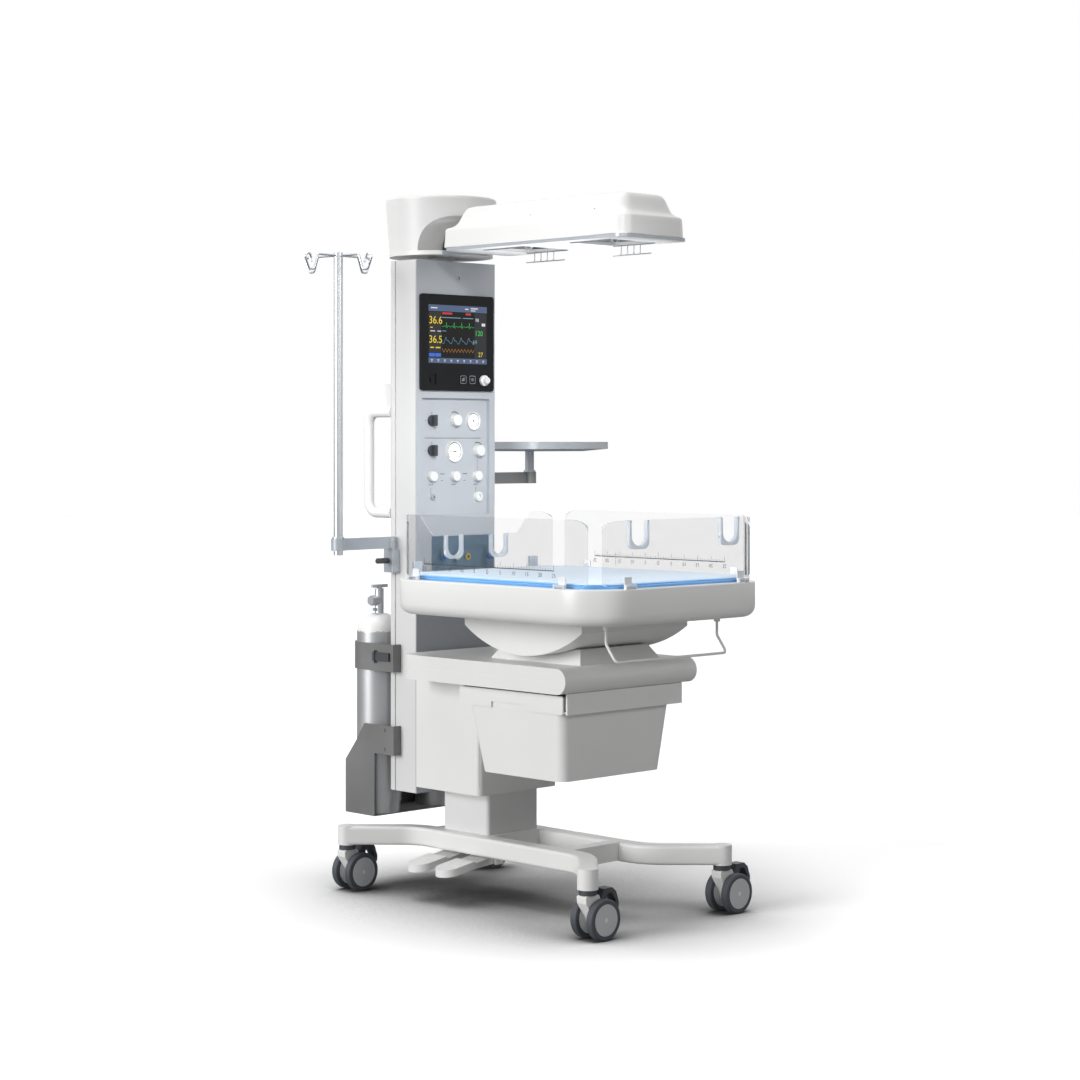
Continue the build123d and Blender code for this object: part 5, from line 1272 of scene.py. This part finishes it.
bell = ring_band(0, 1.0, 2.6, 3.6, 0, 180, 14) + stroke([(-3.1, 1.2), (-3.1, -2.4)], 1.0)
bell += stroke([(3.1, 1.2), (3.1, -2.4)], 1.0) + stroke([(-4.4, -2.8), (4.4, -2.8)], 1.0)
bell += stroke([(-4.6, -5.0), (4.6, 5.2)], 0.9)
menu = bar(-4.5, 4.5, 2.6, 3.6) + bar(-4.5, 4.5, -0.5, 0.5) + bar(-4.5, 4.5, -3.6, -2.6)
for name, x, sign in (("mute_button", 19.9, bell), ("menu_button", 55.6, menu)):
    drawing(
        f"{name}_mark", (x, KEY_FACE, KEY_HEIGHT), (1, 0, 0), (0, 0, 1),
        [(key_grey, rounded_frame(11.3, 4.4, 0.9) + sign)], name, proud=0.1,
    )
print("keys marked")

# %% [markdown]
# The gauges have a scale and figures, the flow knobs an arc and three ticks, and the panel thin flow lines.
# Shares are of the dial's radius, and the panel's marks are drawn about its middle.

# %% Gas panel marks
GAS_FACE = 801.5
GAS_MIDDLE = 1240.0
DIAL_FACE = 797.0
DIAL_MARGIN = 3.0
BAND_SHARES = (0.86, 0.97)
TICK_SHARES = (0.72, 0.8, 0.9)
FIGURE_SHARE = 0.52
KNOB_MARKS = ((3.5, 1346.0), (94.0, 1258.0))
SELECTOR_HEIGHTS = (1344.4, 1258.3)
UPPER_GAUGE = 1300


def polar(radius, angle):
    """A place at a radius and an angle in degrees, counter-clockwise from the right."""
    return radius * math.cos(math.radians(angle)), radius * math.sin(math.radians(angle))


def tick(u, v, inner, outer, angle, width):
    """A short line that points at u and v."""
    ends = (polar(inner, angle), polar(outer, angle))
    return stroke([(u + across, v + up) for across, up in ends], width)


for x, z, radius in GAUGES:
    dial = radius - DIAL_MARGIN
    scale = ring_band(0, 0, dial * BAND_SHARES[0], dial * BAND_SHARES[1], -45, 225, 60)
    for index in range(11):
        inner = TICK_SHARES[0] if index % 5 == 0 else TICK_SHARES[1]
        scale += tick(0, 0, dial * inner, dial * TICK_SHARES[2], 225 - 27 * index, 0.7)
    for index, figure in enumerate(("0", "5", "10")):
        scale += numeral(figure, *polar(dial * FIGURE_SHARE, 225 - 135 * index), 4.2)
    drawing(
        f"gauge_scale_{'upper' if z > UPPER_GAUGE else 'lower'}", (x, DIAL_FACE, z), (1, 0, 0), (0, 0, 1),
        [(ink, scale)], "carriage", proud=0.05,
    )

marks = []
for x, z in KNOB_MARKS:
    marks += ring_band(x, z - GAS_MIDDLE, 22.5, 25.0, 25, 115, 24)
    for angle in (130, 145, 160):
        marks += tick(x, z - GAS_MIDDLE, 21, 24, angle, 0.8)
for z in SELECTOR_HEIGHTS:
    v = z - GAS_MIDDLE
    marks += bar(-110, -104, v - 0.5, v + 0.5) + bar(-84.2, -82.6, v + 19, v + 25)
marks += stroke([(94, -8), (94, -30), (94, -38)], 0.9)
marks += bar(-110, 108, 53.3, 54.7) + bar(-87.6, -86.4, -108, -88) + bar(87.4, 88.6, -105, -88)
for u in (-52, 36):
    marks += bar(u, u + 18, -50, -48.2) + bar(u + 3, u + 12, -69, -67.8)
for u in (-87, 1, 88):
    for left in (-8, -2, 4):
        marks += bar(u + left, u + left + 4, -81, -78.6)
drawing(
    "gas_panel_marks", (0, GAS_FACE, GAS_MIDDLE), (1, 0, 0), (0, 0, 1), [(ink, marks)], "carriage",
    proud=0.1,
)
print("gas panel marked")
